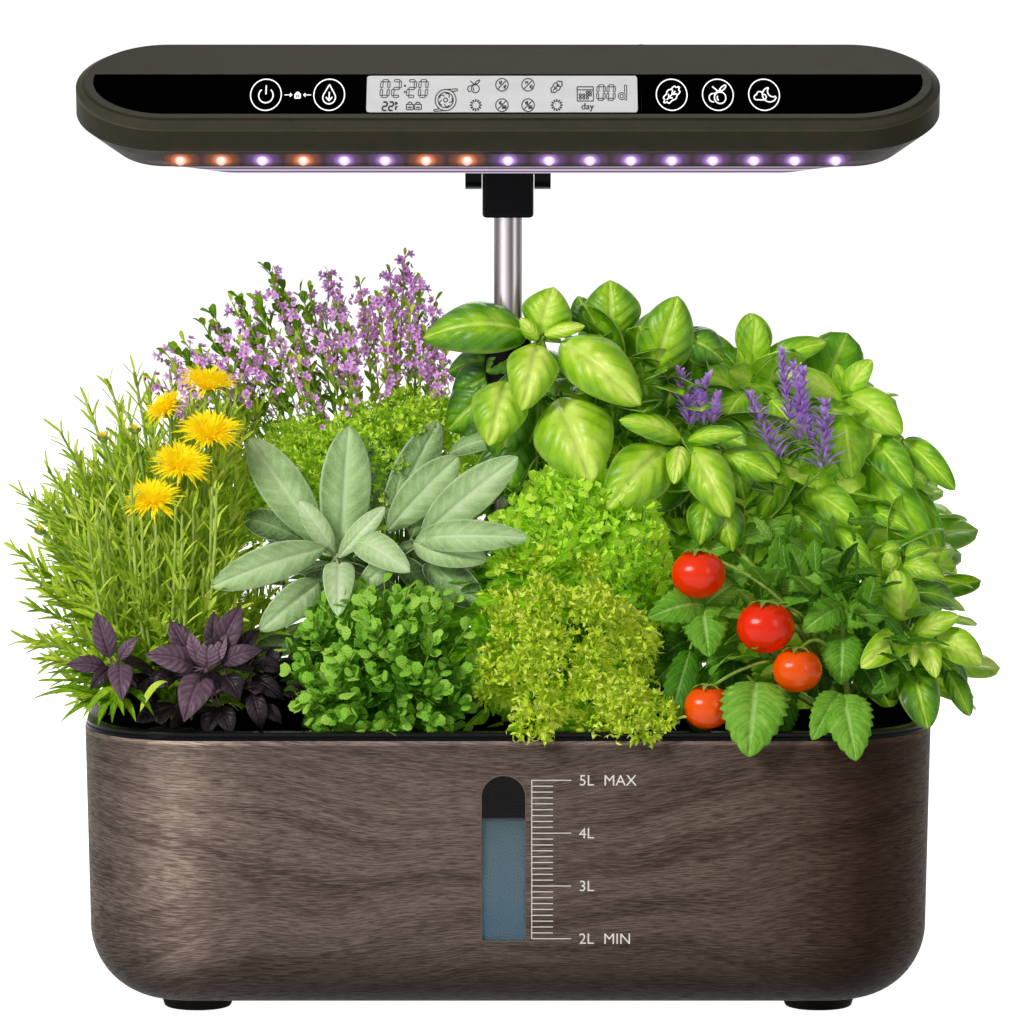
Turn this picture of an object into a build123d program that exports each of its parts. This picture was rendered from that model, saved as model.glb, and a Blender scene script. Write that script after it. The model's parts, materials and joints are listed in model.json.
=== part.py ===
from build123d import *
import os
from math import cos, hypot, radians, sin, tan

# Countertop hydroponic garden, in millimetres. The origin is on the tabletop under the middle of the
# tank, +Z is up and the water gauge faces -Y. A wood-grained tank stands on four feet. A black deck
# closes it and carries the pump, a telescopic mast and twelve net baskets with their plants, and the
# mast's head carries the grow lamp on a friction hinge.

# ------------------------------------------------------------------ driving sizes
# tank
tank_length = 380.0
tank_depth = 160.0
tank_height = 123.0
tank_corner_radius = 48.0
tank_bottom_radius = 34.0
tank_wall = 2.6
tank_floor = 3.6
tank_draft = 1.3  # degrees, wider at the rim
# feet
foot_radius = 16.5
foot_height = 5.5
foot_seat_depth = 1.2
foot_spread_x = 280.0
foot_spread_y = 54.0
# water gauge window
window_width = 19.4
window_bottom = 38.0
window_below_rim = 15.7
window_shift = -2.0
window_flange = 4.0
gasket_thickness = 1.0
lens_flange_thickness = 2.0
# rim and deck
rim_height = 1.9
rim_width = 5.0
rim_reveal = 0.4
rim_tongue_width = 1.8
rim_tongue_depth = 4.0
deck_flange_height = 1.8
deck_reveal = 0.9
deck_wall = 1.8
deck_plate = 2.4
deck_recess = 3.4
# planting grid: four columns and three rows of pods, whose outer ones stand in from the rim
column_edge = 38.5
row_edge = 34.0
pod_hole_radius = 15.2
collar_radius = 18.0
collar_thickness = 1.8
collar_seat_depth = 0.8
basket_top_radius = 14.8
basket_bottom_radius = 11.4
basket_depth = 46.0
basket_wall = 1.2
basket_slots = 8
basket_slot_width = 3.4
basket_slot_length = 26.0
plug_clearance = 0.3
stem_radius = 7.0
# fill port, behind the mast
port_bore = 12.0
port_ring_wall = 2.4
port_ring_height = 2.2
port_spigot_depth = 14.0
lid_thickness = 2.2
lid_plug_depth = 3.0
lid_plug_gap = 0.8
lid_hinge_reach = 19.0
lid_pin_radius = 1.2
# pump
pump_width = 44.0
pump_height = 34.0
pump_corner = 5.0
pump_clearance_below = 3.0
rotor_radius = 7.3
rotor_length = 20.0
vane_radius = 11.8
vane_width = 7.6
vane_thickness = 1.4
vane_count = 6
volute_gap = 0.8
pump_back_wall = 5.0
pump_cover_thickness = 3.0
filter_thickness = 8.0
intake_radius = 5.0
shaft_radius = 1.2
riser_bore = 5.45
riser_wall = 1.5
spigot_wall = 1.6
spigot_length = 10.0
pump_lead_radius = 1.6
gland_height = 4.0
gland_wall = 1.4
lead_rise = 20.0
lead_bow_height = 52.0
lead_bow = (7.0, 4.0)
# mast
mast_tube_radius = 6.35
mast_tube_wall = 1.0
sleeve_radius = 8.0
sleeve_wall = 1.2
sleeve_length = 174.0
socket_depth = 13.0
socket_height = 24.0
socket_wall = 3.6
socket_flange_radius = 20.0
socket_flange_thickness = 3.0
socket_bottom = 4.0
collar_ring_radius = 10.5
collar_ring_overlap = 14.0
collar_ring_guide = 12.0
mast_engaged_length = 140.0
bush_length = 4.0
# hinge between mast and lamp
hinge_height = 376.8
hinge_pin_radius = 2.5
head_width = 23.0
head_depth = 20.0
head_drop = 21.5
head_corner = 3.0
head_socket_depth = 13.0
knuckle_radius = 9.4
yoke_width = 38.4
yoke_depth = 44.0
yoke_plate = 3.0
lamp_standoff = 13.0  # hinge axis to the lamp's underside
lamp_tilt = 21.0  # degrees, front edge down
# lamp
lamp_length = 387.0
lamp_width = 82.0
bevel_height = 16.0
bevel_inset = 17.0
lamp_wall_height = 11.8
shoulder_width = 4.0
shoulder_drop = 3.0
lamp_wall = 2.2
cover_rib_depth = 3.0
cover_rib_width = 1.6
glass_inset = 8.0
glass_chord = 6.5  # the glass ends this far behind the lamp's middle line
glass_thickness = 1.6
lcd_length = 122.6
lcd_depth = 36.6
lcd_thickness = 3.4
lcd_shift_x = -1.8
lcd_edge_gap = 1.4
control_board_length = 240.0
control_board_depth = 30.0
board_thickness = 1.6
led_board_length = 318.0
led_board_depth = 42.0
diffuser_start = 23.0
diffuser_end = 150.0
diffuser_depth = 34.0
diffuser_stand = 2.0
diffuser_corner = 3.0
grow_led_size = 3.0
grow_led_height = 0.8
grow_led_columns = 11
grow_led_rows = 3
strip_length = 308.0
strip_width = 15.0
strip_thickness = 1.6
front_led_count = 17
front_led_radius = 2.0
front_led_pitch = 18.26
jack_position = 60.0
jack_radius = 4.5
jack_flange_radius = 6.5
jack_flange = 1.2
jack_bore = 2.75
jack_depth = 9.5
jack_length = 12.0
screw_head_radius = 2.6
screw_head_height = 1.2
screw_radius = 1.4
screw_length = 7.0
screw_slot = 0.7
end_screw_reach = 168.0
side_screw_reach = 90.0
side_screw_spread = 20.6
# plant crowns
crown_reach_x = 218.0
crown_reach_y = 95.0
crown_gap = 2.0
crown_lift = 4.5  # deck plate to the underside of the leaves
mast_lane = 13.0  # half width left free of leaves round the mast
port_lane = 18.0  # and over the fill port
# clearances
fit = 0.05  # running and push fits, radial
seat_gap = 0.2  # plates in their cut-outs
body_gap = 0.3  # pieces of different bodies

# ------------------------------------------------------------------ derived places
tank_lean = tank_height * tan(radians(tank_draft))
tank_top = foot_height + tank_height
window_top = tank_top - window_below_rim
inner_floor = foot_height + tank_floor
rim_top = tank_top + rim_height
flange_top = rim_top + deck_flange_height
deck_top = flange_top - deck_recess
deck_underside = deck_top - deck_plate
rim_tongue_reach = tank_wall + body_gap
deck_skirt_inset = rim_tongue_reach + rim_tongue_width + body_gap
collar_seat = deck_top - collar_seat_depth
basket_bottom = collar_seat - basket_depth

column_pitch = (tank_length / 2 - column_edge) / 1.5
row_pitch = tank_depth / 2 - row_edge
columns = [(index - 1.5) * column_pitch for index in range(4)]
rows = [(index - 1) * row_pitch for index in range(3)]
port_centre = (0.0, row_pitch)

pump_depth = vane_width + volute_gap + rotor_length + pump_back_wall
pump_bottom = inner_floor + pump_clearance_below
pump_axis_height = pump_bottom + pump_height / 2
riser_offset = -24.0
pump_front = riser_offset - (vane_width + volute_gap) / 2
pump_top = pump_bottom + pump_height
rotor_end = pump_front + vane_width + volute_gap + rotor_length
spigot_radius = riser_bore - fit

socket_top = deck_top + socket_height
sleeve_bottom = deck_top - socket_depth
sleeve_top = sleeve_bottom + sleeve_length
sleeve_bore = sleeve_radius - sleeve_wall
mast_bottom = sleeve_top - mast_engaged_length
head_bottom = hinge_height - head_drop
mast_tube_top = head_bottom + head_socket_depth

lamp_height = bevel_height + lamp_wall_height + shoulder_drop
tray_height = bevel_height + lamp_wall_height
lamp_top = lamp_standoff + lamp_height
tray_top = lamp_standoff + tray_height
tilt = radians(lamp_tilt)
lamp_up = Vector(0, -sin(tilt), cos(tilt))
lamp_back = Vector(0, cos(tilt), sin(tilt))
lamp_frame = Plane(origin=(0, 0, hinge_height), x_dir=(1, 0, 0), z_dir=lamp_up)
lamp_side = Plane(origin=(0, 0, hinge_height), x_dir=lamp_back, z_dir=(1, 0, 0))

os.makedirs("parts", exist_ok=True)


def finish(piece, name):
    """Label a finished piece and write it to its own file."""
    piece.part.label = name
    export_step(piece.part, f"parts/{name}.step")


def lowest(piece, direction=Axis.Z):
    """The face of a piece that lies lowest along an axis."""
    return piece.faces().sort_by(direction)[0]


def highest(piece, direction=Axis.Z):
    """The face of a piece that lies highest along an axis."""
    return piece.faces().sort_by(direction)[-1]


def tank_outline(inset=0.0, mode=Mode.ADD):
    """Plan of the tank's rim, drawn smaller by inset all round."""
    length = tank_length - 2 * inset
    depth = tank_depth - 2 * inset
    RectangleRounded(length, depth, tank_corner_radius - inset, mode=mode)


# ------------------------------------------------------------------ tank
wall_angle = radians(tank_draft)
window_middle = (window_bottom + window_top) / 2
window_front = -tank_depth / 2 + (tank_top - window_middle) * tan(wall_angle)
window_plane = Plane(
    origin=(window_shift, window_front, window_middle),
    x_dir=(1, 0, 0),
    z_dir=(0, -cos(wall_angle), -sin(wall_angle)),
)
window_length = (window_top - window_bottom) / cos(wall_angle)
window_corner = 1.5


def window_outline(grow=0.0):
    """Upright slot with a round top and tight lower corners, drawn larger by grow all round."""
    half = window_width / 2 + grow
    base = -window_length / 2 - grow
    crown = window_length / 2 + grow - half
    middle = (base + crown) / 2
    with Locations((0, middle)):
        RectangleRounded(2 * half, crown - base, window_corner)
    with Locations((0, crown - half / 2)):
        Rectangle(2 * half, half)
    with Locations((0, crown)):
        Circle(half)


foot_places = [
    (side * foot_spread_x / 2, end * foot_spread_y / 2) for side in (-1, 1) for end in (-1, 1)
]



def tank_form(base, inset, bottom_radius):
    """A drafted tub whose rim stands inset inside the tank's, with a wide round at its bottom edge."""
    lean = (tank_top - base) * tan(wall_angle)
    with BuildPart() as form:
        with BuildSketch(Plane.XY.offset(base)):
            tank_outline(inset + lean)
        extrude(amount=tank_top - base, taper=-tank_draft)
        fillet(lowest(form).edges(), bottom_radius)
    return form.part


tub = tank_form(foot_height, 0, tank_bottom_radius)
basin = tank_form(inner_floor, tank_wall, tank_bottom_radius - tank_wall)

with BuildPart() as tank_shell:
    add(tub)
    add(basin, mode=Mode.SUBTRACT)
    with BuildSketch(window_plane.offset(tank_wall)):
        window_outline()
    extrude(amount=-3 * tank_wall, mode=Mode.SUBTRACT)
    # a flat seat for the gasket, where the wall starts to curve into the floor
    with BuildSketch(window_plane.offset(-tank_wall)):
        window_outline(window_flange + seat_gap)
    extrude(amount=-(gasket_thickness + lens_flange_thickness), mode=Mode.SUBTRACT)
    with BuildSketch(Plane.XY.offset(foot_height)):
        with Locations(foot_places):
            Circle(foot_radius - foot_seat_depth)
    extrude(amount=foot_seat_depth, mode=Mode.SUBTRACT)
finish(tank_shell, "tank_shell")

# Four rubber pucks, each with a boss that fills its seat in the tank's floor.
with BuildPart() as tank_feet:
    foot_edge = 1.6
    boss_radius = foot_radius - foot_seat_depth - seat_gap
    for place in foot_places:
        with BuildSketch(Plane(origin=(*place, 0))):
            Circle(foot_radius - foot_edge)
        with BuildSketch(Plane(origin=(*place, foot_height))):
            Circle(foot_radius)
        loft()
        with BuildSketch(Plane(origin=(*place, foot_height))):
            Circle(boss_radius)
        extrude(amount=foot_seat_depth)
    ground_edges = tank_feet.faces().filter_by(Axis.Z).group_by(Axis.Z)[0].edges()
    fillet(ground_edges, foot_edge)
finish(tank_feet, "tank_feet")

# The clear window fills the slot and is held by a flange behind a flat gasket.
with BuildPart() as window_gasket:
    with BuildSketch(window_plane.offset(-tank_wall)):
        window_outline(window_flange)
    extrude(amount=-gasket_thickness)
    with BuildSketch(window_plane):
        window_outline()
    extrude(amount=-3 * tank_wall, mode=Mode.SUBTRACT)
finish(window_gasket, "window_gasket")

with BuildPart() as level_window:
    with BuildSketch(window_plane.offset(-seat_gap)):
        window_outline(-seat_gap)
    extrude(amount=-(tank_wall + gasket_thickness - seat_gap))
    with BuildSketch(window_plane.offset(-(tank_wall + gasket_thickness))):
        window_outline(window_flange)
    extrude(amount=-lens_flange_thickness)
finish(level_window, "level_window")

# Trim ring on the tank's top edge, with a tongue that locates it inside the wall.
with BuildPart() as rim_ring:
    with BuildSketch(Plane.XY.offset(tank_top)):
        tank_outline(rim_reveal)
        tank_outline(rim_width, Mode.SUBTRACT)
    extrude(amount=rim_height)
    with BuildSketch(Plane.XY.offset(tank_top)):
        tank_outline(rim_tongue_reach)
        tank_outline(rim_width, Mode.SUBTRACT)
    extrude(amount=-rim_tongue_depth)
    fillet(highest(rim_ring).outer_wire().edges(), rim_height / 4)
finish(rim_ring, "rim_ring")

# ------------------------------------------------------------------ deck
pod_places = [(x, y) for y in rows for x in columns]
nozzle_place = (0.0, riser_offset)
port_outer = port_bore + port_ring_wall
lid_hinge_y = port_centre[1] + lid_hinge_reach
lid_hinge_z = deck_top + port_ring_height + lid_thickness / 2
lid_ear_width = 4.0
lid_ear_radius = 3.0
lid_knuckle_width = 12.0

with BuildPart() as deck:
    with BuildSketch(Plane.XY.offset(rim_top)):
        tank_outline(deck_reveal)
    extrude(amount=deck_flange_height)
    with BuildSketch(Plane.XY.offset(deck_underside)):
        tank_outline(deck_skirt_inset)
    extrude(amount=flange_top - deck_underside)
    with BuildSketch(Plane.XY.offset(deck_top)):
        tank_outline(deck_skirt_inset + deck_wall)
    extrude(amount=deck_recess, mode=Mode.SUBTRACT)
    fillet(highest(deck).edges(), deck_flange_height / 4)
    # fill port: a ring above the plate and a spigot below it
    with BuildSketch(Plane.XY.offset(deck_top)):
        with Locations(port_centre):
            Circle(port_outer)
        with Locations((port_centre[0], (port_centre[1] + lid_hinge_y) / 2)):
            Rectangle(2 * lid_ear_width + lid_knuckle_width + 2 * body_gap, lid_hinge_reach)
    extrude(amount=port_ring_height - body_gap)
    with BuildSketch(Plane.XY.offset(deck_underside)):
        with Locations(port_centre):
            Circle(port_outer)
        with Locations(nozzle_place):
            Circle(spigot_radius)
    extrude(amount=-port_spigot_depth)
    # ears that hold the lid's pin
    ear_start = lid_knuckle_width / 2 + body_gap
    for side in (-1, 1):
        ear_middle = side * (ear_start + lid_ear_width / 2)
        with BuildSketch(Plane(origin=(ear_middle, lid_hinge_y, deck_top), z_dir=(1, 0, 0))):
            with Locations((0, lid_hinge_z - deck_top)):
                Circle(lid_ear_radius)
            with Locations((0, (lid_hinge_z - deck_top) / 2)):
                Rectangle(2 * lid_ear_radius, lid_hinge_z - deck_top)
        extrude(amount=lid_ear_width / 2, both=True)
    with BuildSketch(Plane(origin=(0, lid_hinge_y, lid_hinge_z), z_dir=(1, 0, 0))):
        Circle(lid_pin_radius)
    extrude(amount=lid_ear_width + ear_start, both=True, mode=Mode.SUBTRACT)
    with Locations((*port_centre, deck_top + port_ring_height)):
        Hole(port_bore)
    # clear the plate's underside for the lid's knuckle to turn
    with BuildSketch(Plane(origin=(0, lid_hinge_y, lid_hinge_z), z_dir=(1, 0, 0))):
        Circle(lid_ear_radius + body_gap)
    extrude(amount=ear_start, both=True, mode=Mode.SUBTRACT)
    # pump spigot: bored from below, with a cross slot that lets the water out over the roots
    with BuildSketch(Plane.XY.offset(deck_underside - port_spigot_depth)):
        with Locations(nozzle_place):
            Circle(spigot_radius - spigot_wall)
    extrude(amount=port_spigot_depth, mode=Mode.SUBTRACT)
    with BuildSketch(Plane.XY.offset(deck_underside)):
        with Locations(nozzle_place):
            Rectangle(4 * spigot_radius, spigot_radius)
    extrude(amount=-(port_spigot_depth - spigot_length), mode=Mode.SUBTRACT)
    # pod holes with a seat for each collar, and the hole for the mast's socket
    for place in pod_places:
        with Locations((*place, deck_top)):
            CounterBoreHole(pod_hole_radius, collar_radius + body_gap, collar_seat_depth)
    with Locations((0, 0, deck_top)):
        Hole(sleeve_radius + socket_wall + fit)
finish(deck, "deck")

with BuildPart() as fill_lid:
    lid_underside = deck_top + port_ring_height
    with BuildSketch(Plane.XY.offset(lid_underside)):
        with Locations(port_centre):
            Circle(port_outer)
        with Locations((port_centre[0], (port_centre[1] + lid_hinge_y) / 2)):
            Rectangle(lid_knuckle_width, lid_hinge_reach)
        with Locations((port_centre[0], port_centre[1] - port_outer)):
            RectangleRounded(9, 8, 2)
    extrude(amount=lid_thickness)
    with BuildSketch(Plane.XY.offset(lid_underside)):
        with Locations(port_centre):
            Circle(port_bore - lid_plug_gap)
            Circle(port_bore - lid_plug_gap - 1.6, mode=Mode.SUBTRACT)
    extrude(amount=-lid_plug_depth)
    with BuildSketch(Plane(origin=(0, lid_hinge_y, lid_hinge_z), z_dir=(1, 0, 0))):
        Circle(lid_ear_radius)
    extrude(amount=lid_knuckle_width / 2, both=True)
    with BuildSketch(Plane(origin=(0, lid_hinge_y, lid_hinge_z), z_dir=(1, 0, 0))):
        Circle(lid_pin_radius + fit)
    extrude(amount=lid_knuckle_width, both=True, mode=Mode.SUBTRACT)
finish(fill_lid, "fill_lid")

with BuildPart() as lid_pin:
    with BuildSketch(Plane(origin=(0, lid_hinge_y, lid_hinge_z), z_dir=(1, 0, 0))):
        Circle(lid_pin_radius)
    extrude(amount=ear_start + lid_ear_width, both=True)
finish(lid_pin, "lid_pin")

# ------------------------------------------------------------------ pump
# The rotor turns about a steel shaft along Y. Its vanes run in the volute at the front of the housing.
riser_bottom = pump_top + body_gap
riser_top = deck_underside - port_spigot_depth + spigot_length - body_gap
rotor_plane = Plane(origin=(0, pump_front, pump_axis_height), x_dir=(1, 0, 0), z_dir=(0, 1, 0))
volute_radius = vane_radius + volute_gap
volute_depth = vane_width + volute_gap
lead_foot = (15.0, pump_front + pump_depth - 8.0)
pump_lead_clearance = 0.2

with BuildPart() as pump_housing:
    with BuildSketch(rotor_plane):
        RectangleRounded(pump_width, pump_height, pump_corner)
    extrude(amount=pump_depth)
    with BuildSketch(rotor_plane):
        Circle(volute_radius)
    extrude(amount=volute_depth, mode=Mode.SUBTRACT)
    with BuildSketch(rotor_plane):
        Circle(rotor_radius + body_gap)
    extrude(amount=volute_depth + rotor_length + body_gap, mode=Mode.SUBTRACT)
    with BuildSketch(rotor_plane):
        Circle(shaft_radius)
    extrude(amount=pump_depth - 1.5, mode=Mode.SUBTRACT)
    # outlet spigot over the volute
    with BuildSketch(Plane.XY.offset(pump_top)):
        with Locations(nozzle_place):
            Circle(spigot_radius)
    extrude(amount=spigot_length)
    with BuildSketch(Plane.XY.offset(pump_top + spigot_length)):
        with Locations(nozzle_place):
            Circle(spigot_radius - spigot_wall)
    extrude(amount=-(spigot_length + pump_height / 2 - vane_radius), mode=Mode.SUBTRACT)
    # gland for the pump's lead
    with BuildSketch(Plane.XY.offset(pump_top)):
        with Locations(lead_foot):
            Circle(pump_lead_radius + gland_wall)
    extrude(amount=gland_height)
    with Locations((*lead_foot, pump_top + gland_height)):
        Hole(pump_lead_radius + pump_lead_clearance, depth=gland_height)
finish(pump_housing, "pump_housing")

with BuildPart() as pump_cover:
    with BuildSketch(rotor_plane):
        RectangleRounded(pump_width, pump_height, pump_corner)
    extrude(amount=-pump_cover_thickness)
    slot_ring = (intake_radius + volute_radius) / 2
    with BuildSketch(rotor_plane):
        with PolarLocations(slot_ring, 12):
            SlotOverall(volute_radius - intake_radius - 2, 1.6)
        with PolarLocations(intake_radius - 1.5, 6):
            Circle(1.0)
    extrude(amount=-pump_cover_thickness, mode=Mode.SUBTRACT)
    with BuildSketch(rotor_plane):
        Circle(shaft_radius)
    extrude(amount=-pump_cover_thickness / 2, mode=Mode.SUBTRACT)
finish(pump_cover, "pump_cover")

with BuildPart() as pump_filter:
    filter_plane = rotor_plane.offset(-(pump_cover_thickness + body_gap))
    with BuildSketch(filter_plane):
        RectangleRounded(pump_width - 4, pump_height - 4, pump_corner - 1)
    extrude(amount=-filter_thickness)
finish(pump_filter, "pump_filter")

with BuildPart() as pump_shaft:
    with BuildSketch(rotor_plane.offset(-pump_cover_thickness / 2)):
        Circle(shaft_radius)
    extrude(amount=pump_cover_thickness / 2 + pump_depth - 1.5)
finish(pump_shaft, "pump_shaft")

with BuildPart() as pump_impeller:
    vane_start = volute_gap / 2
    with BuildSketch(rotor_plane.offset(vane_start + vane_width)):
        Circle(rotor_radius)
    extrude(amount=rotor_length)
    with BuildSketch(rotor_plane.offset(vane_start)):
        Circle(shaft_radius + 2)
        with PolarLocations(0, vane_count):
            with Locations((vane_radius / 2, 0)):
                Rectangle(vane_radius, vane_thickness)
    extrude(amount=vane_width)
    with BuildSketch(rotor_plane):
        Circle(shaft_radius + fit)
    extrude(amount=pump_depth, mode=Mode.SUBTRACT)
finish(pump_impeller, "pump_impeller")

with BuildPart() as pump_riser:
    with BuildSketch(Plane.XY.offset(riser_bottom)):
        with Locations(nozzle_place):
            Circle(riser_bore + riser_wall)
            Circle(riser_bore, mode=Mode.SUBTRACT)
    extrude(amount=riser_top - riser_bottom)
finish(pump_riser, "pump_riser")

# The lead leaves the gland, bows outwards past the mast's socket and ends in the deck's underside.
lead_end = (lead_foot[0] + lead_bow[0], lead_foot[1] + lead_bow[1])
lead_points = [
    (*lead_foot, pump_top),
    (*lead_foot, pump_top + lead_rise),
    (*lead_end, pump_top + lead_bow_height),
    (*lead_end, deck_underside),
]


def bend_radii(points, share=0.45):
    """Radius of each inner corner: share of the shorter run over the tangent of half the turn."""
    radii = []
    for before, corner, after in zip(points, points[1:], points[2:]):
        arriving = Vector(corner) - Vector(before)
        leaving = Vector(after) - Vector(corner)
        half_turn = radians(arriving.get_angle(leaving)) / 2
        radii.append(share * min(arriving.length, leaving.length) / tan(half_turn))
    return radii


lead_radii = bend_radii(lead_points)
print("pump lead radii", [round(radius, 1) for radius in lead_radii])
with BuildPart() as pump_lead:
    with BuildLine() as lead_path:
        FilletPolyline(*lead_points, radius=lead_radii)
    with BuildSketch(Plane(origin=lead_points[0])):
        Circle(pump_lead_radius)
    sweep()
finish(pump_lead, "pump_lead")

# ------------------------------------------------------------------ mast
with BuildPart() as mast_socket:
    with BuildSketch(Plane.XY.offset(sleeve_bottom - socket_bottom)):
        Circle(sleeve_radius + socket_wall)
    extrude(amount=socket_top - sleeve_bottom + socket_bottom)
    with BuildSketch(Plane.XY.offset(deck_top)):
        Circle(socket_flange_radius)
    extrude(amount=socket_flange_thickness)
    chamfer(highest(mast_socket).edges(), socket_wall / 2)
    with Locations((0, 0, socket_top)):
        Hole(sleeve_radius + fit, depth=socket_top - sleeve_bottom)
finish(mast_socket, "mast_socket")

with BuildPart() as mast_sleeve:
    with BuildSketch(Plane.XY.offset(sleeve_bottom)):
        Circle(sleeve_radius)
        Circle(sleeve_bore, mode=Mode.SUBTRACT)
    extrude(amount=sleeve_length)
finish(mast_sleeve, "mast_sleeve")

# Friction collar: sits over the sleeve's end and guides the tube that slides in it.
with BuildPart() as mast_collar:
    with BuildSketch(Plane.XY.offset(sleeve_top - collar_ring_overlap)):
        Circle(collar_ring_radius)
    extrude(amount=collar_ring_overlap + collar_ring_guide)
    fillet(mast_collar.edges().filter_by(GeomType.CIRCLE), 1.2)
    with Locations((0, 0, sleeve_top + collar_ring_guide)):
        Hole(mast_tube_radius + fit)
    with BuildSketch(Plane.XY.offset(sleeve_top)):
        Circle(sleeve_radius + fit)
    extrude(amount=-collar_ring_overlap, mode=Mode.SUBTRACT)
finish(mast_collar, "mast_collar")

with BuildPart() as mast_tube:
    with BuildSketch(Plane.XY.offset(mast_bottom)):
        Circle(mast_tube_radius)
        Circle(mast_tube_radius - mast_tube_wall, mode=Mode.SUBTRACT)
    extrude(amount=mast_tube_top - mast_bottom)
finish(mast_tube, "mast_tube")

with BuildPart() as mast_bush:
    with BuildSketch(Plane.XY.offset(mast_bottom)):
        Circle(sleeve_bore - fit)
    extrude(amount=-bush_length)
    with BuildSketch(Plane.XY.offset(mast_bottom)):
        Circle(mast_tube_radius - mast_tube_wall - fit)
    extrude(amount=2 * bush_length)
finish(mast_bush, "mast_bush")

# ------------------------------------------------------------------ hinge
with BuildPart() as hinge_head:
    with BuildSketch(Plane.XY.offset(head_bottom)):
        RectangleRounded(head_width, head_depth, head_corner)
    extrude(amount=head_drop)
    fillet(lowest(hinge_head).edges(), 1.6)
    with BuildSketch(lamp_side):
        Circle(knuckle_radius)
    extrude(amount=head_width / 2, both=True)
    with Locations((0, 0, head_bottom + head_socket_depth)):
        Hole(mast_tube_radius + fit, depth=head_socket_depth)
    with BuildSketch(lamp_side):
        Circle(hinge_pin_radius)
    extrude(amount=head_width, both=True, mode=Mode.SUBTRACT)
finish(hinge_head, "hinge_head")

with BuildPart() as hinge_pin:
    with BuildSketch(lamp_side):
        Circle(hinge_pin_radius)
    extrude(amount=yoke_width / 2, both=True)
finish(hinge_pin, "hinge_pin")

with BuildPart() as lamp_yoke:
    with BuildSketch(lamp_frame.offset(lamp_standoff - yoke_plate)):
        RectangleRounded(yoke_width, yoke_depth, head_corner)
    extrude(amount=yoke_plate)
    lug_start = head_width / 2 + body_gap
    for side in (-1, 1):
        with BuildSketch(lamp_side.offset(side * lug_start)):
            Circle(knuckle_radius)
            with Locations((0, lamp_standoff / 2)):
                Rectangle(2 * knuckle_radius, lamp_standoff)
        extrude(amount=side * (yoke_width / 2 - lug_start))
    with BuildSketch(lamp_side):
        Circle(hinge_pin_radius + fit)
    extrude(amount=yoke_width, both=True, mode=Mode.SUBTRACT)
finish(lamp_yoke, "lamp_yoke")

# ------------------------------------------------------------------ lamp
lamp_axis = Axis((0, 0, 0), lamp_up)
window_middle_x = (diffuser_start + diffuser_end) / 2
window_span = diffuser_end - diffuser_start
side_screws = [(x * side_screw_reach, v * side_screw_spread) for x in (-1, 1) for v in (-1, 1)]
screw_places = [(-end_screw_reach, 0), (end_screw_reach, 0), *side_screws]
bevel_slope = hypot(bevel_height, bevel_inset)
bevel_out = (lamp_back * -bevel_height - lamp_up * bevel_inset).normalized()
bevel_middle = (
    lamp_frame.origin
    + lamp_back * (bevel_inset / 2 - lamp_width / 2)
    + lamp_up * (lamp_standoff + bevel_height / 2)
)
bevel_plane = Plane(origin=bevel_middle, x_dir=(1, 0, 0), z_dir=bevel_out)
front_led_places = [
    ((index - (front_led_count - 1) / 2) * front_led_pitch, 0) for index in range(front_led_count)
]
jack_plane = Plane(
    origin=lamp_frame.origin
    + Vector(jack_position, 0, 0)
    + lamp_back * (lamp_width / 2)
    + lamp_up * (lamp_standoff + bevel_height + lamp_wall_height / 2),
    x_dir=(1, 0, 0),
    z_dir=lamp_back,
)


def lamp_form(inset, floor, height):
    """A stadium tray with a bevel round its underside, drawn inset inside the lamp's outline."""
    with BuildPart() as form:
        with BuildSketch(lamp_frame.offset(lamp_standoff + floor)):
            SlotOverall(lamp_length - 2 * inset, lamp_width - 2 * inset)
        extrude(amount=height)
        sole = lowest(form, lamp_axis)
        drop = bevel_height - floor
        chamfer(sole.edges(), length=bevel_inset * drop / bevel_height, length2=drop, reference=sole)
    return form.part


with BuildPart() as lamp_tray:
    add(lamp_form(0, 0, tray_height))
    add(lamp_form(lamp_wall, lamp_wall, tray_height), mode=Mode.SUBTRACT)
    # windows for the grow light, either side of the yoke
    with BuildSketch(lamp_frame.offset(lamp_standoff)):
        with Locations((-window_middle_x, 0), (window_middle_x, 0)):
            RectangleRounded(window_span, diffuser_depth, diffuser_corner)
    extrude(amount=lamp_wall, mode=Mode.SUBTRACT)
    # slot for the row of lights on the front bevel
    with BuildSketch(bevel_plane):
        SlotOverall(strip_length, strip_width)
    extrude(amount=-2 * lamp_wall, mode=Mode.SUBTRACT)
    with BuildSketch(jack_plane):
        Circle(jack_radius + fit)
    extrude(amount=-2 * lamp_wall, mode=Mode.SUBTRACT)
    with BuildSketch(lamp_frame.offset(lamp_standoff)):
        with Locations(screw_places):
            Circle(screw_head_radius + fit)
    extrude(amount=screw_head_height, mode=Mode.SUBTRACT)
    with BuildSketch(lamp_frame.offset(lamp_standoff)):
        with Locations(screw_places):
            Circle(screw_radius + fit)
    extrude(amount=lamp_wall, mode=Mode.SUBTRACT)
finish(lamp_tray, "lamp_tray")

with BuildPart() as lamp_screws:
    with BuildSketch(lamp_frame.offset(lamp_standoff)):
        with Locations(screw_places):
            Circle(screw_head_radius)
    extrude(amount=screw_head_height)
    with BuildSketch(lamp_frame.offset(lamp_standoff + screw_head_height)):
        with Locations(screw_places):
            Circle(screw_radius)
    extrude(amount=screw_length)
    with BuildSketch(lamp_frame.offset(lamp_standoff)):
        with Locations(screw_places):
            Rectangle(1.6 * screw_radius, screw_slot)
            Rectangle(screw_slot, 1.6 * screw_radius)
    extrude(amount=screw_head_height / 2, mode=Mode.SUBTRACT)
finish(lamp_screws, "lamp_screws")


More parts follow.
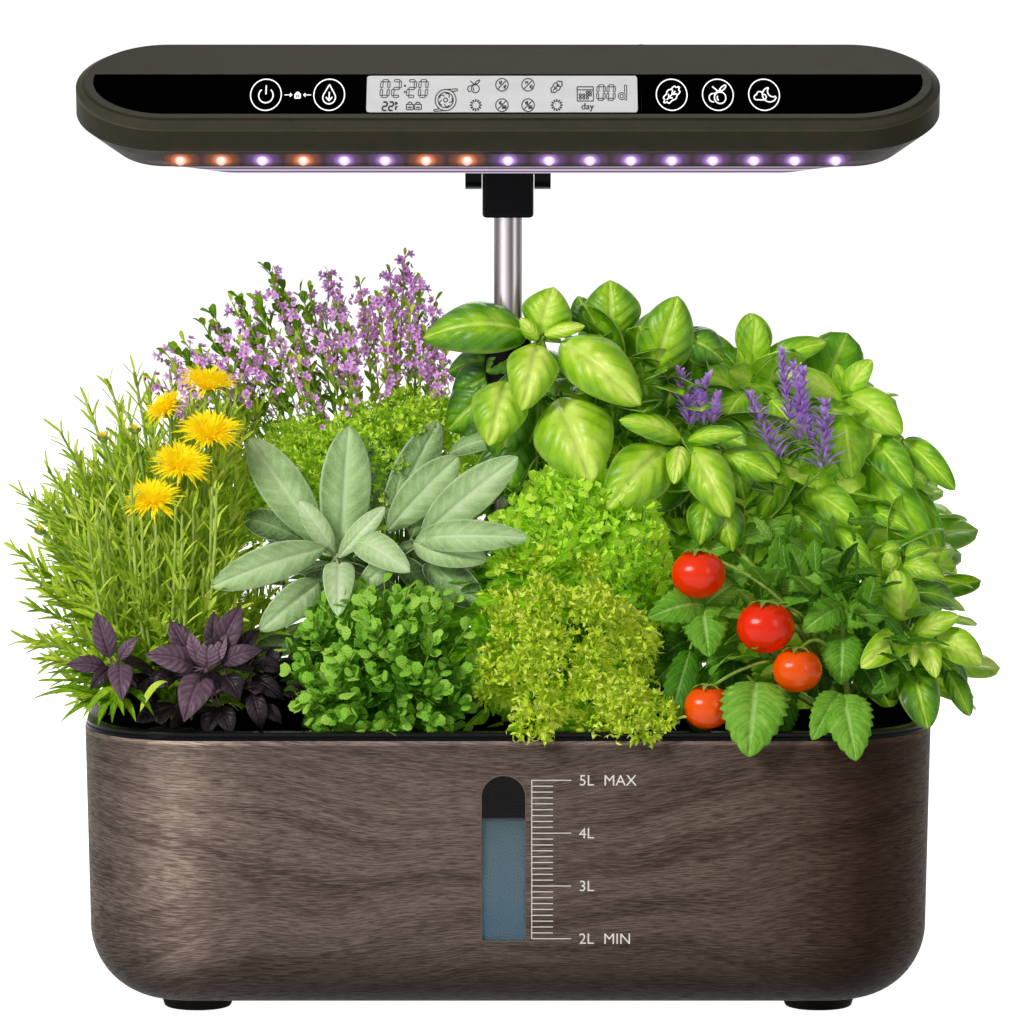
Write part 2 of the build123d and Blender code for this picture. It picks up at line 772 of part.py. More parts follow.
def glass_outline(grow=0.0):
    """The lamp's stadium drawn inside its edge and cut off by a chord behind the middle line."""
    SlotOverall(lamp_length - 2 * glass_inset + 2 * grow, lamp_width - 2 * glass_inset + 2 * grow)
    with Locations((0, glass_chord + grow + lamp_width / 2)):
        Rectangle(lamp_length, lamp_width, mode=Mode.SUBTRACT)


lcd_middle = (lcd_shift_x, glass_chord - lcd_edge_gap - lcd_depth / 2)
lcd_corner = 2.0

with BuildPart() as lamp_cover:
    with BuildSketch(lamp_frame.offset(tray_top)):
        SlotOverall(lamp_length, lamp_width)
    extrude(amount=shoulder_drop)
    crown = highest(lamp_cover, lamp_axis)
    chamfer(crown.edges(), length=shoulder_width, length2=shoulder_drop - 0.4, reference=crown)
    with BuildSketch(lamp_frame.offset(lamp_top)):
        glass_outline(seat_gap)
    extrude(amount=-glass_thickness, mode=Mode.SUBTRACT)
    rib_inset = lamp_wall + seat_gap
    with BuildSketch(lamp_frame.offset(tray_top)):
        SlotOverall(lamp_length - 2 * rib_inset, lamp_width - 2 * rib_inset)
        inner_inset = rib_inset + cover_rib_width
        SlotOverall(lamp_length - 2 * inner_inset, lamp_width - 2 * inner_inset, mode=Mode.SUBTRACT)
    extrude(amount=-cover_rib_depth)
    with BuildSketch(lamp_frame.offset(lamp_top)):
        with Locations(lcd_middle):
            RectangleRounded(lcd_length + 2 * seat_gap, lcd_depth + 2 * seat_gap, lcd_corner)
    extrude(amount=-(shoulder_drop + cover_rib_depth), mode=Mode.SUBTRACT)
    # notch in the rib where the power jack passes
    with BuildSketch(jack_plane):
        Circle(jack_radius + seat_gap)
    extrude(amount=-jack_length, mode=Mode.SUBTRACT)
finish(lamp_cover, "lamp_cover")

with BuildPart() as control_glass:
    with BuildSketch(lamp_frame.offset(lamp_top)):
        glass_outline()
        with Locations(lcd_middle):
            RectangleRounded(
                lcd_length + 2 * seat_gap, lcd_depth + 2 * seat_gap, lcd_corner, mode=Mode.SUBTRACT
            )
    extrude(amount=-(glass_thickness - fit))
finish(control_glass, "control_glass")

with BuildPart() as lcd_display:
    with BuildSketch(lamp_frame.offset(lamp_top)):
        with Locations(lcd_middle):
            RectangleRounded(lcd_length, lcd_depth, lcd_corner)
    extrude(amount=-lcd_thickness)
finish(lcd_display, "lcd_display")

with BuildPart() as control_board:
    with BuildSketch(lamp_frame.offset(lamp_top - lcd_thickness - seat_gap)):
        with Locations((0, lcd_middle[1] + 3)):
            Rectangle(control_board_length, control_board_depth)
    extrude(amount=-board_thickness)
finish(control_board, "control_board")

with BuildPart() as led_board:
    with BuildSketch(lamp_frame.offset(lamp_standoff + lamp_wall)):
        Rectangle(led_board_length, led_board_depth)
    extrude(amount=board_thickness)
    with BuildSketch(lamp_frame.offset(lamp_standoff + lamp_wall)):
        with Locations(screw_places):
            Circle(screw_radius + seat_gap)
    extrude(amount=board_thickness, mode=Mode.SUBTRACT)
finish(led_board, "led_board")

with BuildPart() as grow_leds:
    led_step_x = window_span / grow_led_columns
    led_step_y = diffuser_depth / grow_led_rows
    with BuildSketch(lamp_frame.offset(lamp_standoff + lamp_wall)):
        with Locations((-window_middle_x, 0), (window_middle_x, 0)):
            with GridLocations(led_step_x, led_step_y, grow_led_columns, grow_led_rows):
                Rectangle(grow_led_size, grow_led_size)
    extrude(amount=-grow_led_height)
finish(grow_leds, "grow_leds")

with BuildPart() as grow_diffusers:
    diffuser_top = lamp_wall - grow_led_height - seat_gap
    with BuildSketch(lamp_frame.offset(lamp_standoff + diffuser_top)):
        with Locations((-window_middle_x, 0), (window_middle_x, 0)):
            RectangleRounded(window_span - 2 * seat_gap, diffuser_depth - 2 * seat_gap, diffuser_corner)
    extrude(amount=-(diffuser_top + diffuser_stand))
    fillet(grow_diffusers.faces().group_by(lamp_axis)[0].edges(), diffuser_stand / 2)
finish(grow_diffusers, "grow_diffusers")

with BuildPart() as light_strip:
    with BuildSketch(bevel_plane.offset(-seat_gap)):
        SlotOverall(strip_length - 2 * seat_gap, strip_width - 2 * seat_gap)
        with Locations(front_led_places):
            Circle(front_led_radius + fit, mode=Mode.SUBTRACT)
    extrude(amount=-strip_thickness)
finish(light_strip, "light_strip")

with BuildPart() as front_leds:
    for place in front_led_places:
        with BuildSketch(bevel_plane.offset(-seat_gap - strip_thickness)):
            with Locations(place):
                Circle(front_led_radius)
        extrude(amount=strip_thickness + front_led_radius / 2)
    domes = front_leds.faces().group_by(Axis((0, 0, 0), bevel_out))[-1]
    fillet(domes.edges(), 0.8 * front_led_radius / 2)
finish(front_leds, "front_leds")

with BuildPart() as power_jack:
    with BuildSketch(jack_plane):
        Circle(jack_flange_radius)
    extrude(amount=jack_flange)
    with BuildSketch(jack_plane):
        Circle(jack_radius)
    extrude(amount=-jack_length)
    with BuildSketch(jack_plane.offset(jack_flange)):
        Circle(jack_bore)
    extrude(amount=-jack_depth, mode=Mode.SUBTRACT)
finish(power_jack, "power_jack")

# ------------------------------------------------------------------ pods
# Rows of plants from the front, each from left to right: name, height of the crown's top above the
# deck, and how far its right-hand border stands from the line half way to the next pod.
plant_rows = [
    [("purple_basil", 58, 0), ("oregano", 71, -14), ("lettuce", 121, -33), ("tomato", 91, 0)],
    [("marigold", 162, 0), ("sage", 134, 0), ("large_basil", 191, 0), ("bush_basil", 80, 0)],
    [("rosemary", 153, 0), ("thyme", 204, 0), ("lavender", 163, 0), ("basil", 175, 0)],
]
row_reach = [(-210, 172), (-196, crown_reach_x), (-crown_reach_x, 205)]
lanes = [crown_gap / 2, mast_lane, port_lane]
# the crown swells out of the pod, leans over to the middle of its own patch, is widest half way up
# and closes in a dome; each step has a share of the height, of the lean and of the full width
crown_steps = [(0.0, 0.0, 0.42), (0.18, 0.8, 0.82), (0.45, 1.0, 1.0), (0.72, 1.0, 0.9), (0.9, 1.0, 0.64), (1.0, 1.0, 0.3)]


def basket(name, place):
    """Net cup: a flat collar on a tapered wall that is cut into slots, with a drain in its floor."""
    low = Plane(origin=(*place, basket_bottom))
    with BuildPart() as cup:
        with BuildSketch(low):
            Circle(basket_bottom_radius)
        with BuildSketch(low.offset(basket_depth)):
            Circle(basket_top_radius)
        loft()
        with BuildSketch(low.offset(basket_depth)):
            Circle(collar_radius)
        extrude(amount=collar_thickness)
        with BuildSketch(low.offset(basket_wall)):
            Circle(basket_bottom_radius - basket_wall)
        with BuildSketch(low.offset(basket_depth + collar_thickness)):
            Circle(basket_top_radius - basket_wall)
        loft(mode=Mode.SUBTRACT)
        for index in range(basket_slots // 2):
            turn = radians(360 / basket_slots * index)
            slot_plane = Plane(
                origin=(*place, basket_bottom + 0.44 * basket_depth),
                x_dir=(0, 0, 1),
                z_dir=(cos(turn), sin(turn), 0),
            )
            with BuildSketch(slot_plane):
                SlotOverall(basket_slot_length, basket_slot_width)
            extrude(amount=basket_top_radius, both=True, mode=Mode.SUBTRACT)
        with BuildSketch(low):
            Circle(basket_bottom_radius / 3)
        extrude(amount=basket_wall, mode=Mode.SUBTRACT)
    finish(cup, f"basket_{name}")


def plant(name, place, left, right, front, back, height):
    """A plant grown through its peat plug: the plug, the stem and the outer shape of its leaves."""
    low = Plane(origin=(*place, basket_bottom + basket_wall + plug_clearance))
    plug_top = basket_depth + collar_thickness - basket_wall - plug_clearance - 1
    crown_base = deck_top + crown_lift
    with BuildPart() as crown:
        with BuildSketch(low):
            Circle(basket_bottom_radius - basket_wall - plug_clearance)
        with BuildSketch(low.offset(plug_top)):
            Circle(basket_top_radius - basket_wall - 2 * plug_clearance)
        loft()
        with BuildSketch(low.offset(plug_top)):
            Circle(stem_radius)
        extrude(amount=crown_base - low.origin.Z - plug_top)
        for share, lean, spread in crown_steps:
            centre_x = place[0] + lean * ((left + right) / 2 - place[0])
            centre_y = place[1] + lean * ((front + back) / 2 - place[1])
            with BuildSketch(Plane.XY.offset(crown_base + share * (height - crown_lift))):
                with Locations((centre_x, centre_y)):
                    Ellipse(spread * (right - left) / 2, spread * (back - front) / 2)
        loft(ruled=True)
    finish(crown, f"plant_{name}")


for row, plants in enumerate(plant_rows):
    middle = rows[row]
    front = -crown_reach_y if row == 0 else middle - (row_pitch - crown_gap) / 2
    back = crown_reach_y if row == len(rows) - 1 else middle + (row_pitch - crown_gap) / 2
    left = row_reach[row][0]
    for column, (name, height, lean) in enumerate(plants):
        border = columns[column] + column_pitch / 2 + lean
        gap = 2 * lanes[row] if column == 1 else crown_gap
        last = column == len(columns) - 1
        right = row_reach[row][1] if last else border - gap / 2
        place = (columns[column], middle)
        basket(name, place)
        plant(name, place, left, right, front, back, height)
        left = border + gap / 2
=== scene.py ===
import json
from math import cos, pi, radians, sin

import bpy
import numpy as np
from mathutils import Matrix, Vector


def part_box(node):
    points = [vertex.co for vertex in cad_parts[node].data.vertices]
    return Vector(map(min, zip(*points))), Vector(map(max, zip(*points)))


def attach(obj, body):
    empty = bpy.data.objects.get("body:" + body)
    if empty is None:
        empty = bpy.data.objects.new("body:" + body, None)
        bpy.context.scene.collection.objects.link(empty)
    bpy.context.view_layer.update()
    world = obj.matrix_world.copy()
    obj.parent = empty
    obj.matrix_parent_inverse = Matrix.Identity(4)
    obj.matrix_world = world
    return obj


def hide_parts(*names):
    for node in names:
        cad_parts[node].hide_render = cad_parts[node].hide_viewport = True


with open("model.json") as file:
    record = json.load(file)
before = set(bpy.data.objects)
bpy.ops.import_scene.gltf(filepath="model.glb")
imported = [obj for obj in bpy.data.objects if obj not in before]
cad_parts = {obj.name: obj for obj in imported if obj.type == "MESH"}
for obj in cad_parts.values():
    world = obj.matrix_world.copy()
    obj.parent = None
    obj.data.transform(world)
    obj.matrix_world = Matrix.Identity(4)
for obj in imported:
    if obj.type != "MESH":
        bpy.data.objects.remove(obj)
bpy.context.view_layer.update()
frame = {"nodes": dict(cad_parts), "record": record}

# Looks of the countertop hydroponic garden: finishes for the tank, deck, pump, mast and lamp, the
# printed marks, the water, the twelve plants in their pods, and the table, lights and camera.
# All lengths are in metres, in the frame's axes.

MM = 0.001


def mm(*values):
    """Values in millimetres as an array in metres."""
    return np.array(values) * MM


# ------------------------------------------------------------------ places read from the frame
tank_low, tank_high = [np.array(corner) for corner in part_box("tank_shell")]
basin_corner = 48 * MM  # radius of the tank's upright corners at its rim
water_level = 93.5 * MM
deck_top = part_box("basket_sage")[1].z - 1 * MM
rest_tilt = radians(21)  # the lamp leans forward on its hinge
hinge = np.array(sum(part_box("hinge_pin"), Vector())) / 2
lamp_up = np.array([0.0, -sin(rest_tilt), cos(rest_tilt)])
lamp_back = np.array([0.0, cos(rest_tilt), sin(rest_tilt)])
across = np.array([1.0, 0.0, 0.0])
lamp_top = 43.8 * MM  # from the hinge's axis to the lamp's top face

# ------------------------------------------------------------------ camera
picture = 1024  # pixels on a side
sensor = 36.0
lens = 388.5
eye = mm(1.8, -4945.0, 869.0)
aim = mm(1.8, 0.0, 221.0)
focal = lens / sensor * picture
forward = (aim - eye) / np.linalg.norm(aim - eye)
upward = np.cross(across, forward)

camera_data = bpy.data.cameras.new("camera")
camera_data.lens = lens
camera_data.sensor_width = sensor
camera_data.clip_end = 60
camera = bpy.data.objects.new("camera", camera_data)
camera.location = eye
camera.rotation_mode = "QUATERNION"
camera.rotation_quaternion = Vector(forward).to_track_quat("-Z", "Y")
bpy.context.scene.collection.objects.link(camera)
bpy.context.scene.camera = camera


def spot(column, row, depth):
    """Points where the camera's rays through pixels (column, row) cross the upright planes y = depth."""
    column, row, depth = np.broadcast_arrays(*[np.asarray(v, float) for v in (column, row, depth)])
    ray = (
        forward
        + across * ((column - picture / 2) / focal)[..., None]
        + upward * ((picture / 2 - row) / focal)[..., None]
    )
    return eye + ray * ((depth - eye[1]) / ray[..., 1])[..., None]


def on_lamp(x, back, up):
    """Points of the lamp at rest: x along it, back and up from the hinge's axis in its own leaning frame."""
    x, back, up = np.broadcast_arrays(*[np.asarray(v, float) for v in (x, back, up)])
    return hinge + x[..., None] * across + back[..., None] * lamp_back + up[..., None] * lamp_up


# ------------------------------------------------------------------ finishes
def tint(red, green, blue):
    """A colour written as it shows on a screen, 0 to 255, turned to the renderer's linear values."""
    share = np.array([red, green, blue]) / 255
    linear = np.where(share <= 0.04045, share / 12.92, ((share + 0.055) / 1.055) ** 2.4)
    return (*[float(value) for value in linear], 1.0)


def grey(value):
    return (value, value, value, 1.0)


def rgb(red, green, blue):
    """A colour given in the renderer's linear values, where 1 is full."""
    return (red, green, blue, 1.0)


def darkened(colour, share):
    return rgb(*[share * value for value in colour[:3]])


class Finish:
    """A material under construction. Its methods add nodes and return their output sockets."""

    def __init__(self, name, colour=(0.5, 0.5, 0.5, 1.0), roughness=0.5, **constants):
        self.material = bpy.data.materials.new(name)
        self.material.use_nodes = True
        self.tree = self.material.node_tree
        self.shader = self.tree.nodes["Principled BSDF"]
        self.coat(Base_Color=colour, Roughness=roughness, **constants)

    def coat(self, **values):
        """Set or link the shader's inputs; an underscore in a name stands for a space."""
        for name, value in values.items():
            self.wire(self.shader.inputs[name.replace("_", " ")], value)
        return self

    def wire(self, socket, value):
        if isinstance(value, bpy.types.NodeSocket):
            self.tree.links.new(value, socket)
        else:
            socket.default_value = value

    def node(self, kind, inputs=(), **settings):
        made = self.tree.nodes.new("ShaderNode" + kind)
        for name, value in settings.items():
            setattr(made, name, value)
        for key, value in dict(inputs).items():
            self.wire(made.inputs[key], value)
        return made

    def place(self, stretch=(1, 1, 1), shift=(0, 0, 0), source="Object"):
        """The piece's coordinates, multiplied by stretch and shifted."""
        coordinates = self.node("TexCoord").outputs[source]
        return self.node("Mapping", {0: coordinates, 1: shift, 3: stretch}).outputs[0]

    def split(self, vector):
        return self.node("SeparateXYZ", {0: vector}).outputs

    def join(self, x=0.0, y=0.0, z=0.0):
        return self.node("CombineXYZ", {0: x, 1: y, 2: z}).outputs[0]

    def sum(self, operation, first, second=0.0, third=0.0):
        return self.node("Math", {0: first, 1: second, 2: third}, operation=operation).outputs[0]

    def plus(self, first, second):
        return self.sum("ADD", first, second)

    def less(self, first, second):
        return self.sum("SUBTRACT", first, second)

    def times(self, first, second):
        return self.sum("MULTIPLY", first, second)

    def over(self, first, second):
        return self.sum("DIVIDE", first, second)

    def most(self, first, second):
        return self.sum("MAXIMUM", first, second)

    def least(self, first, second):
        return self.sum("MINIMUM", first, second)

    def line(self, value, slope, rise):
        """value * slope + rise."""
        return self.sum("MULTIPLY_ADD", value, slope, rise)

    def sway(self, noise, size):
        """Noise taken about zero, size high in all."""
        return self.times(self.less(noise, 0.5), size)

    def length(self, x, z):
        return self.node("VectorMath", {0: self.join(x, 0.0, z)}, operation="LENGTH").outputs[1]

    def tone(self):
        return self.node("Attribute", attribute_name="tone").outputs["Fac"]

    def ease(self, value, low, high, start=0.0, end=1.0):
        """value taken smoothly from [low, high] to [start, end]."""
        inputs = {0: value, 1: low, 2: high, 3: start, 4: end}
        return self.node("MapRange", inputs, interpolation_type="SMOOTHSTEP").outputs[0]

    def grain(self, vector, scale, detail=3.0, rough=0.5):
        """Soft noise, about 0.5 on average."""
        inputs = {"Vector": vector, "Scale": scale, "Detail": detail, "Roughness": rough}
        return self.node("TexNoise", inputs).outputs[0]

    def cells(self, vector, scale):
        inputs = {"Vector": vector, "Scale": scale}
        return self.node("TexVoronoi", inputs, feature="F1").outputs[0]

    def blend(self, share, first, second, mode="MIX"):
        made = self.node("Mix", data_type="RGBA", blend_type=mode)
        for index, value in ((0, share), (6, first), (7, second)):
            self.wire(made.inputs[index], value)
        return made.outputs[2]

    def ramp(self, value, stops, interpolation="LINEAR"):
        """Colours at the given places of value, as (place, colour) pairs."""
        made = self.node("ValToRGB", {0: value})
        bar = made.color_ramp
        bar.interpolation = interpolation
        while len(bar.elements) < len(stops):
            bar.elements.new(1.0)
        for element, (place, colour) in zip(bar.elements, stops):
            element.position = place
            element.color = colour
        return made.outputs[0]

    def bands(self, value, low, high, stops):
        """A ramp over value from low to high, whose stops stand at values between them."""
        share = self.over(self.less(value, low), high - low)
        return self.ramp(share, [((place - low) / (high - low), colour) for place, colour in stops])

    def bump(self, height, depth, strength=1.0):
        inputs = {"Height": height, "Distance": depth, "Strength": strength}
        self.coat(Normal=self.node("Bump", inputs).outputs[0])
        return self


def moulded(name, colour, roughness, grain_size=0.6 * MM, depth=0.02 * MM, **constants):
    """Injection-moulded plastic: a fine spark-eroded grain and slight clouding of colour and gloss."""
    finish = Finish(name, colour, roughness, **constants)
    cloud = finish.grain(finish.place(), 40, 3)
    finish.coat(Base_Color=finish.blend(cloud, darkened(colour, 0.78), colour))
    finish.coat(Roughness=finish.ease(cloud, 0.3, 0.7, 0.88 * roughness, 1.12 * roughness))
    return finish.bump(finish.grain(finish.place(), 1 / grain_size, 2), depth).material


def around_tank(finish):
    """Distance round the tank from the middle of its front (left negative), height, and a value that is
    positive on the outer skin and negative inside. The plan is a rectangle with round corners: a point's
    nearest point on the inner rectangle gives its straight part, and the angle from there gives its arc."""
    x, y, z = finish.split(finish.place())
    half_length = float(tank_high[0]) - basin_corner
    half_depth = float(tank_high[1]) - basin_corner
    reach = finish.sum("ABSOLUTE", x)
    straight = finish.least(reach, half_length)
    level = finish.most(finish.least(y, half_depth), -half_depth)
    out_x = finish.less(reach, straight)
    out_y = finish.less(y, level)
    turn = finish.sum("ARCTAN2", out_x, finish.times(out_y, -1.0))
    arc = finish.times(turn, basin_corner)
    behind = finish.sum("SIGN", y)
    front_run = finish.times(finish.less(half_length, straight), behind)
    run = finish.plus(finish.plus(arc, level), half_length + half_depth)
    run = finish.plus(run, front_run)
    run = finish.times(run, finish.sum("SIGN", x))
    normal = finish.node("NewGeometry").outputs["Normal"]
    normal_x, normal_y, normal_z = finish.split(normal)
    outward_x = finish.times(finish.times(normal_x, finish.sum("SIGN", x)), out_x)
    outward = finish.plus(outward_x, finish.times(normal_y, out_y))
    return run, z, outward, normal_z


def wood_print():
    """Grey-brown wood film round the tank. The grain lies along lines of equal value of a height field:
    the height itself, drawn apart round a knot near each end and warped a little along the way."""
    finish = Finish("wood_print", roughness=0.55, Specular_IOR_Level=0.06)
    run, height, outward, facing_up = around_tank(finish)
    run = finish.times(run, 1000.0)
    height = finish.times(height, 1000.0)
    field = height
    loops = height
    eyes = [(-206.0, 52.0, 84.0, 24.0, 26.0), (262.0, 30.0, 130.0, 34.0, 40.0), (440.0, 66.0, 90.0, 20.0, 24.0)]
    for centre, level, reach, pull, core in eyes:
        along = finish.over(finish.less(run, centre), reach)
        swell = finish.sum("EXPONENT", finish.times(finish.sum("POWER", along, 2.0), -0.5))
        above = finish.less(height, level)
        wide = finish.sum("TANH", finish.over(above, 2.6 * core))
        near = finish.sum("TANH", finish.over(above, core))
        field = finish.line(finish.times(swell, wide), -pull, field)
        loops = finish.line(finish.times(swell, near), -1.6 * pull, loops)
    drift = finish.grain(finish.join(finish.times(run, 0.011), finish.times(height, 0.013)), 1, 1)
    wander = finish.sway(drift, 24.0)
    field = finish.line(wander, 0.6, field)
    loops = finish.plus(loops, wander)

    def streaks(length, thickness, detail, layer, level):
        vector = finish.join(
            finish.over(run, length), finish.over(level, thickness), layer
        )
        return finish.grain(vector, 1, detail, 0.6)

    bands = streaks(200.0, 8.0, 3, 1.0, loops)
    lines = streaks(110.0, 3.4, 2, 2.0, loops)
    veins = streaks(34.0, 1.2, 2, 3.0, field)
    fibres = streaks(12.0, 0.6, 2, 5.0, field)
    pores = streaks(7.0, 0.42, 2, 9.0, field)
    colour = finish.ramp(bands, [(0.34, tint(78, 64, 57)), (0.47, tint(104, 90, 81)), (0.58, tint(120, 105, 95)),
                                 (0.72, tint(92, 78, 71))])
    colour = finish.blend(finish.ease(lines, 0.48, 0.64, 0.0, 0.35), colour, tint(63, 51, 45))
    colour = finish.blend(finish.ease(veins, 0.45, 0.62, 0.0, 0.22), colour, tint(66, 54, 48))
    colour = finish.blend(finish.ease(fibres, 0.42, 0.62, 0.0, 0.42), colour, tint(146, 131, 120))
    colour = finish.blend(finish.ease(pores, 0.44, 0.62, 0.0, 0.62), colour, tint(52, 42, 37))

    # painted light and shade on the film, by millimetres round the tank and by millimetres of height: a painted
    # highlight toward the left corner, painted shade toward the right corner and the foot, and a painted highlight
    # line just under the rim
    painted_light_round_tank = [
        (-350, rgb(0.76, 0.71, 0.68)), (-240, grey(0.9)), (-205, grey(0.9)), (-190, grey(0.78)),
        (-178, grey(0.96)), (-165, grey(1.46)), (-150, grey(2.36)), (-141, grey(2.26)), (-131, grey(1.58)),
        (-108, grey(1.14)), (-40, grey(1.16)), (42, rgb(0.98, 0.95, 0.93)), (105, rgb(0.89, 0.84, 0.8)),
        (123, rgb(0.78, 0.7, 0.65)), (148, rgb(0.41, 0.32, 0.26)), (164, rgb(0.26, 0.18, 0.13)),
        (180, rgb(0.37, 0.3, 0.25)), (204, rgb(0.43, 0.37, 0.33)), (240, rgb(0.7, 0.64, 0.6)),
        (350, rgb(0.76, 0.71, 0.68)),
    ]
    painted_light_up_tank = [
        (8, grey(0.12)), (11, grey(0.2)), (15, grey(0.3)), (20, grey(0.46)), (26, grey(0.64)), (36, grey(0.88)),
        (60, grey(1.0)), (95, grey(1.08)), (120, grey(0.92)), (126.2, grey(0.85)), (127.2, grey(1.9)),
    ]
    colour = finish.blend(1.0, colour, finish.bands(run, -360.0, 360.0, painted_light_round_tank), "MULTIPLY")
    colour = finish.blend(1.0, colour, finish.bands(height, 5.0, 130.0, painted_light_up_tank), "MULTIPLY")
    # painted highlight: the shell's top edge, where it faces up under the rim, is painted paler
    edge = finish.times(finish.ease(facing_up, 0.6, 0.9), finish.ease(height, 120.0, 125.0))
    colour = finish.blend(edge, colour, tint(176, 156, 138))
    inside = finish.ease(outward, -0.00001, 0.00001, 1.0, 0.0)
    inside = finish.times(inside, finish.ease(facing_up, 0.95, 0.99, 1.0, 0.0))
    colour = finish.blend(inside, colour, tint(4, 4, 4))
    finish.coat(Base_Color=colour, Roughness=finish.ease(pores, 0.4, 0.7, 0.48, 0.68))
    return finish.bump(pores, 0.05 * MM, 0.5).material


def beside_lamp(finish):
    """Height above the hinge's axis, square to the lamp's top."""
    _, y, z = finish.split(finish.place(shift=tuple(-hinge)))
    return finish.line(z, cos(rest_tilt), finish.times(y, -sin(rest_tilt)))


def lamp_shell():
    """Satin olive-grey paint with a faint brown mottle and fine metallic grain. Painted highlights, a paler band under
    the rim, a thin bright line at its foot and another along the wall's lower edge, follow the moulding, with painted
    shade on the shoulder and on the lower bevel, and the front lamps' glow painted on by their row."""
    finish = Finish("lamp_shell", roughness=0.5, Specular_IOR_Level=0.03)
    mottle = finish.grain(finish.place((0.5, 1, 1)), 160, 4, 0.6)
    fleck = finish.grain(finish.place(), 2600, 2)
    colour = finish.ramp(
        mottle, [(0.35, tint(54, 56, 42)), (0.5, tint(59, 57, 45)), (0.65, tint(64, 57, 47))]
    )
    colour = finish.blend(finish.ease(fleck, 0.5, 0.8, 0.0, 0.25), colour, tint(92, 88, 76))
    # painted light and shade on the paint, by millimetres above the hinge
    steps = [(18.0, 0.2), (28.5, 0.24), (28.8, 2.1), (29.3, 0.85), (38.8, 0.85), (39.3, 2.0), (39.8, 1.35),
             (42.8, 1.2), (43.3, 0.5), (43.75, 1.0)]
    level = finish.times(beside_lamp(finish), 1 / MM)
    bands = finish.bands(level, 15.0, 45.0, [(height, grey(value)) for height, value in steps])
    colour = finish.blend(1.0, colour, bands, "MULTIPLY")
    finish.coat(Base_Color=colour, Roughness=finish.ease(mottle, 0.3, 0.7, 0.4, 0.5))
    # painted light: the front lamps' glow, emitted by the paint just above and below their row
    z = finish.split(finish.place(shift=tuple(-on_lamp(0, led_back, led_up))))[2]
    above = finish.ease(z, 4.4 * MM, 8.5 * MM, 0.2, 0.0)
    share = finish.most(above, finish.ease(z, -1.0 * MM, 0.0, 0.95, 0.0))
    finish.coat(Emission_Color=lit_row(finish, share, 1.6), Emission_Strength=1.0)
    return finish.bump(fleck, 0.01 * MM, 0.5).material


led_pitch = 18.26 * MM
led_count = 17
led_limit = (led_count - 1) / 2  # the middle lamp is number 0, the end ones are this far from it
led_back, led_up = -33.8 * MM, 20.9 * MM  # the middle of a bead, a little proud of the front bevel
warm_places = (0, 1, 3, 6, 7)  # the warm lamps, counted from the left; the others are violet
# colour by millimetres from a lamp's middle; fall_reach is where the ramps end
fall_reach = 10
violet_fall = [(1.2, (255, 252, 255)), (2.2, (238, 200, 250)), (3.2, (170, 126, 200)), (5.0, (104, 80, 120)),
               (9.1, (74, 58, 66))]
warm_fall = [(1.0, (255, 252, 246)), (1.9, (254, 206, 170)), (3.0, (226, 132, 100)), (5.0, (138, 82, 60)),
             (9.1, (74, 58, 62))]


def lit_row(finish, glow_share=1.0, squash=1.0):
    """Light of the row of front lamps: white within a lamp, then its own colour, which fades with the
    distance from the lamp's middle; the strip's upper edge lies in shade."""
    x, y, z = finish.split(finish.place(shift=tuple(-on_lamp(0, led_back, led_up))))
    count = finish.sum("ROUND", finish.over(x, led_pitch))
    count = finish.most(finish.least(count, led_limit), -led_limit)
    aside = finish.less(x, finish.times(count, led_pitch))
    climb = finish.line(y, 0.15, z)
    far = finish.over(finish.length(aside, finish.times(climb, squash)), fall_reach * MM)
    share = finish.line(count, 1 / led_count, 0.5)
    stops = []
    for index in range(led_count):
        warm = float(index in warm_places)
        if not stops or stops[-1][1][0] != warm:
            stops.append((index / led_count, grey(warm)))
    pick = finish.ramp(share, stops, "CONSTANT")
    violet, warm = [
        finish.ramp(far, [(place / fall_reach, tint(*shade)) for place, shade in fall])
        for fall in (violet_fall, warm_fall)
    ]
    shade = finish.times(finish.ease(climb, 1.9 * MM, 3.8 * MM, 1.0, 0.4), glow_share)
    fall = finish.times(finish.ease(y, 5 * MM, 14 * MM, 1.0, 0.0), shade)
    return finish.blend(1.0, finish.blend(pick, violet, warm), finish.join(fall, fall, fall), "MULTIPLY")


def smoked_strip():
    """Smoked lens between the front lamps, lit near each of them."""
    finish = Finish("smoked_strip", roughness=0.4, Specular_IOR_Level=0.0)
    haze = finish.grain(finish.place(), 300, 2)
    finish.coat(Base_Color=finish.ramp(haze, [(0.3, tint(26, 24, 20)), (0.7, tint(34, 31, 28))]))
    finish.coat(Emission_Color=lit_row(finish, squash=1.6), Emission_Strength=1.0)
    return finish.material


def front_lamps():
    """White-hot lamp domes that take their own colour toward the rim."""
    finish = Finish("led", tint(60, 56, 58), 0.4, Specular_IOR_Level=0.1)
    haze = finish.grain(finish.place(), 900, 2)
    finish.coat(Roughness=finish.ease(haze, 0.3, 0.7, 0.3, 0.45))
    finish.coat(Emission_Color=lit_row(finish), Emission_Strength=1.0)
    return finish.material


def brushed_steel(name, colour, roughness, stretch, **constants):
    """Steel drawn along its length: long thin scratches in colour, gloss and surface."""
    finish = Finish(name, colour, roughness, Metallic=1.0, **constants)
    lines = finish.grain(finish.place(stretch), 1, 4, 0.7)
    finish.coat(Base_Color=finish.blend(lines, darkened(colour, 0.8), colour))
    finish.coat(Roughness=finish.ease(lines, 0.3, 0.7, 0.8 * roughness, 1.25 * roughness))
    return finish.bump(lines, 0.01 * MM, 0.4).material


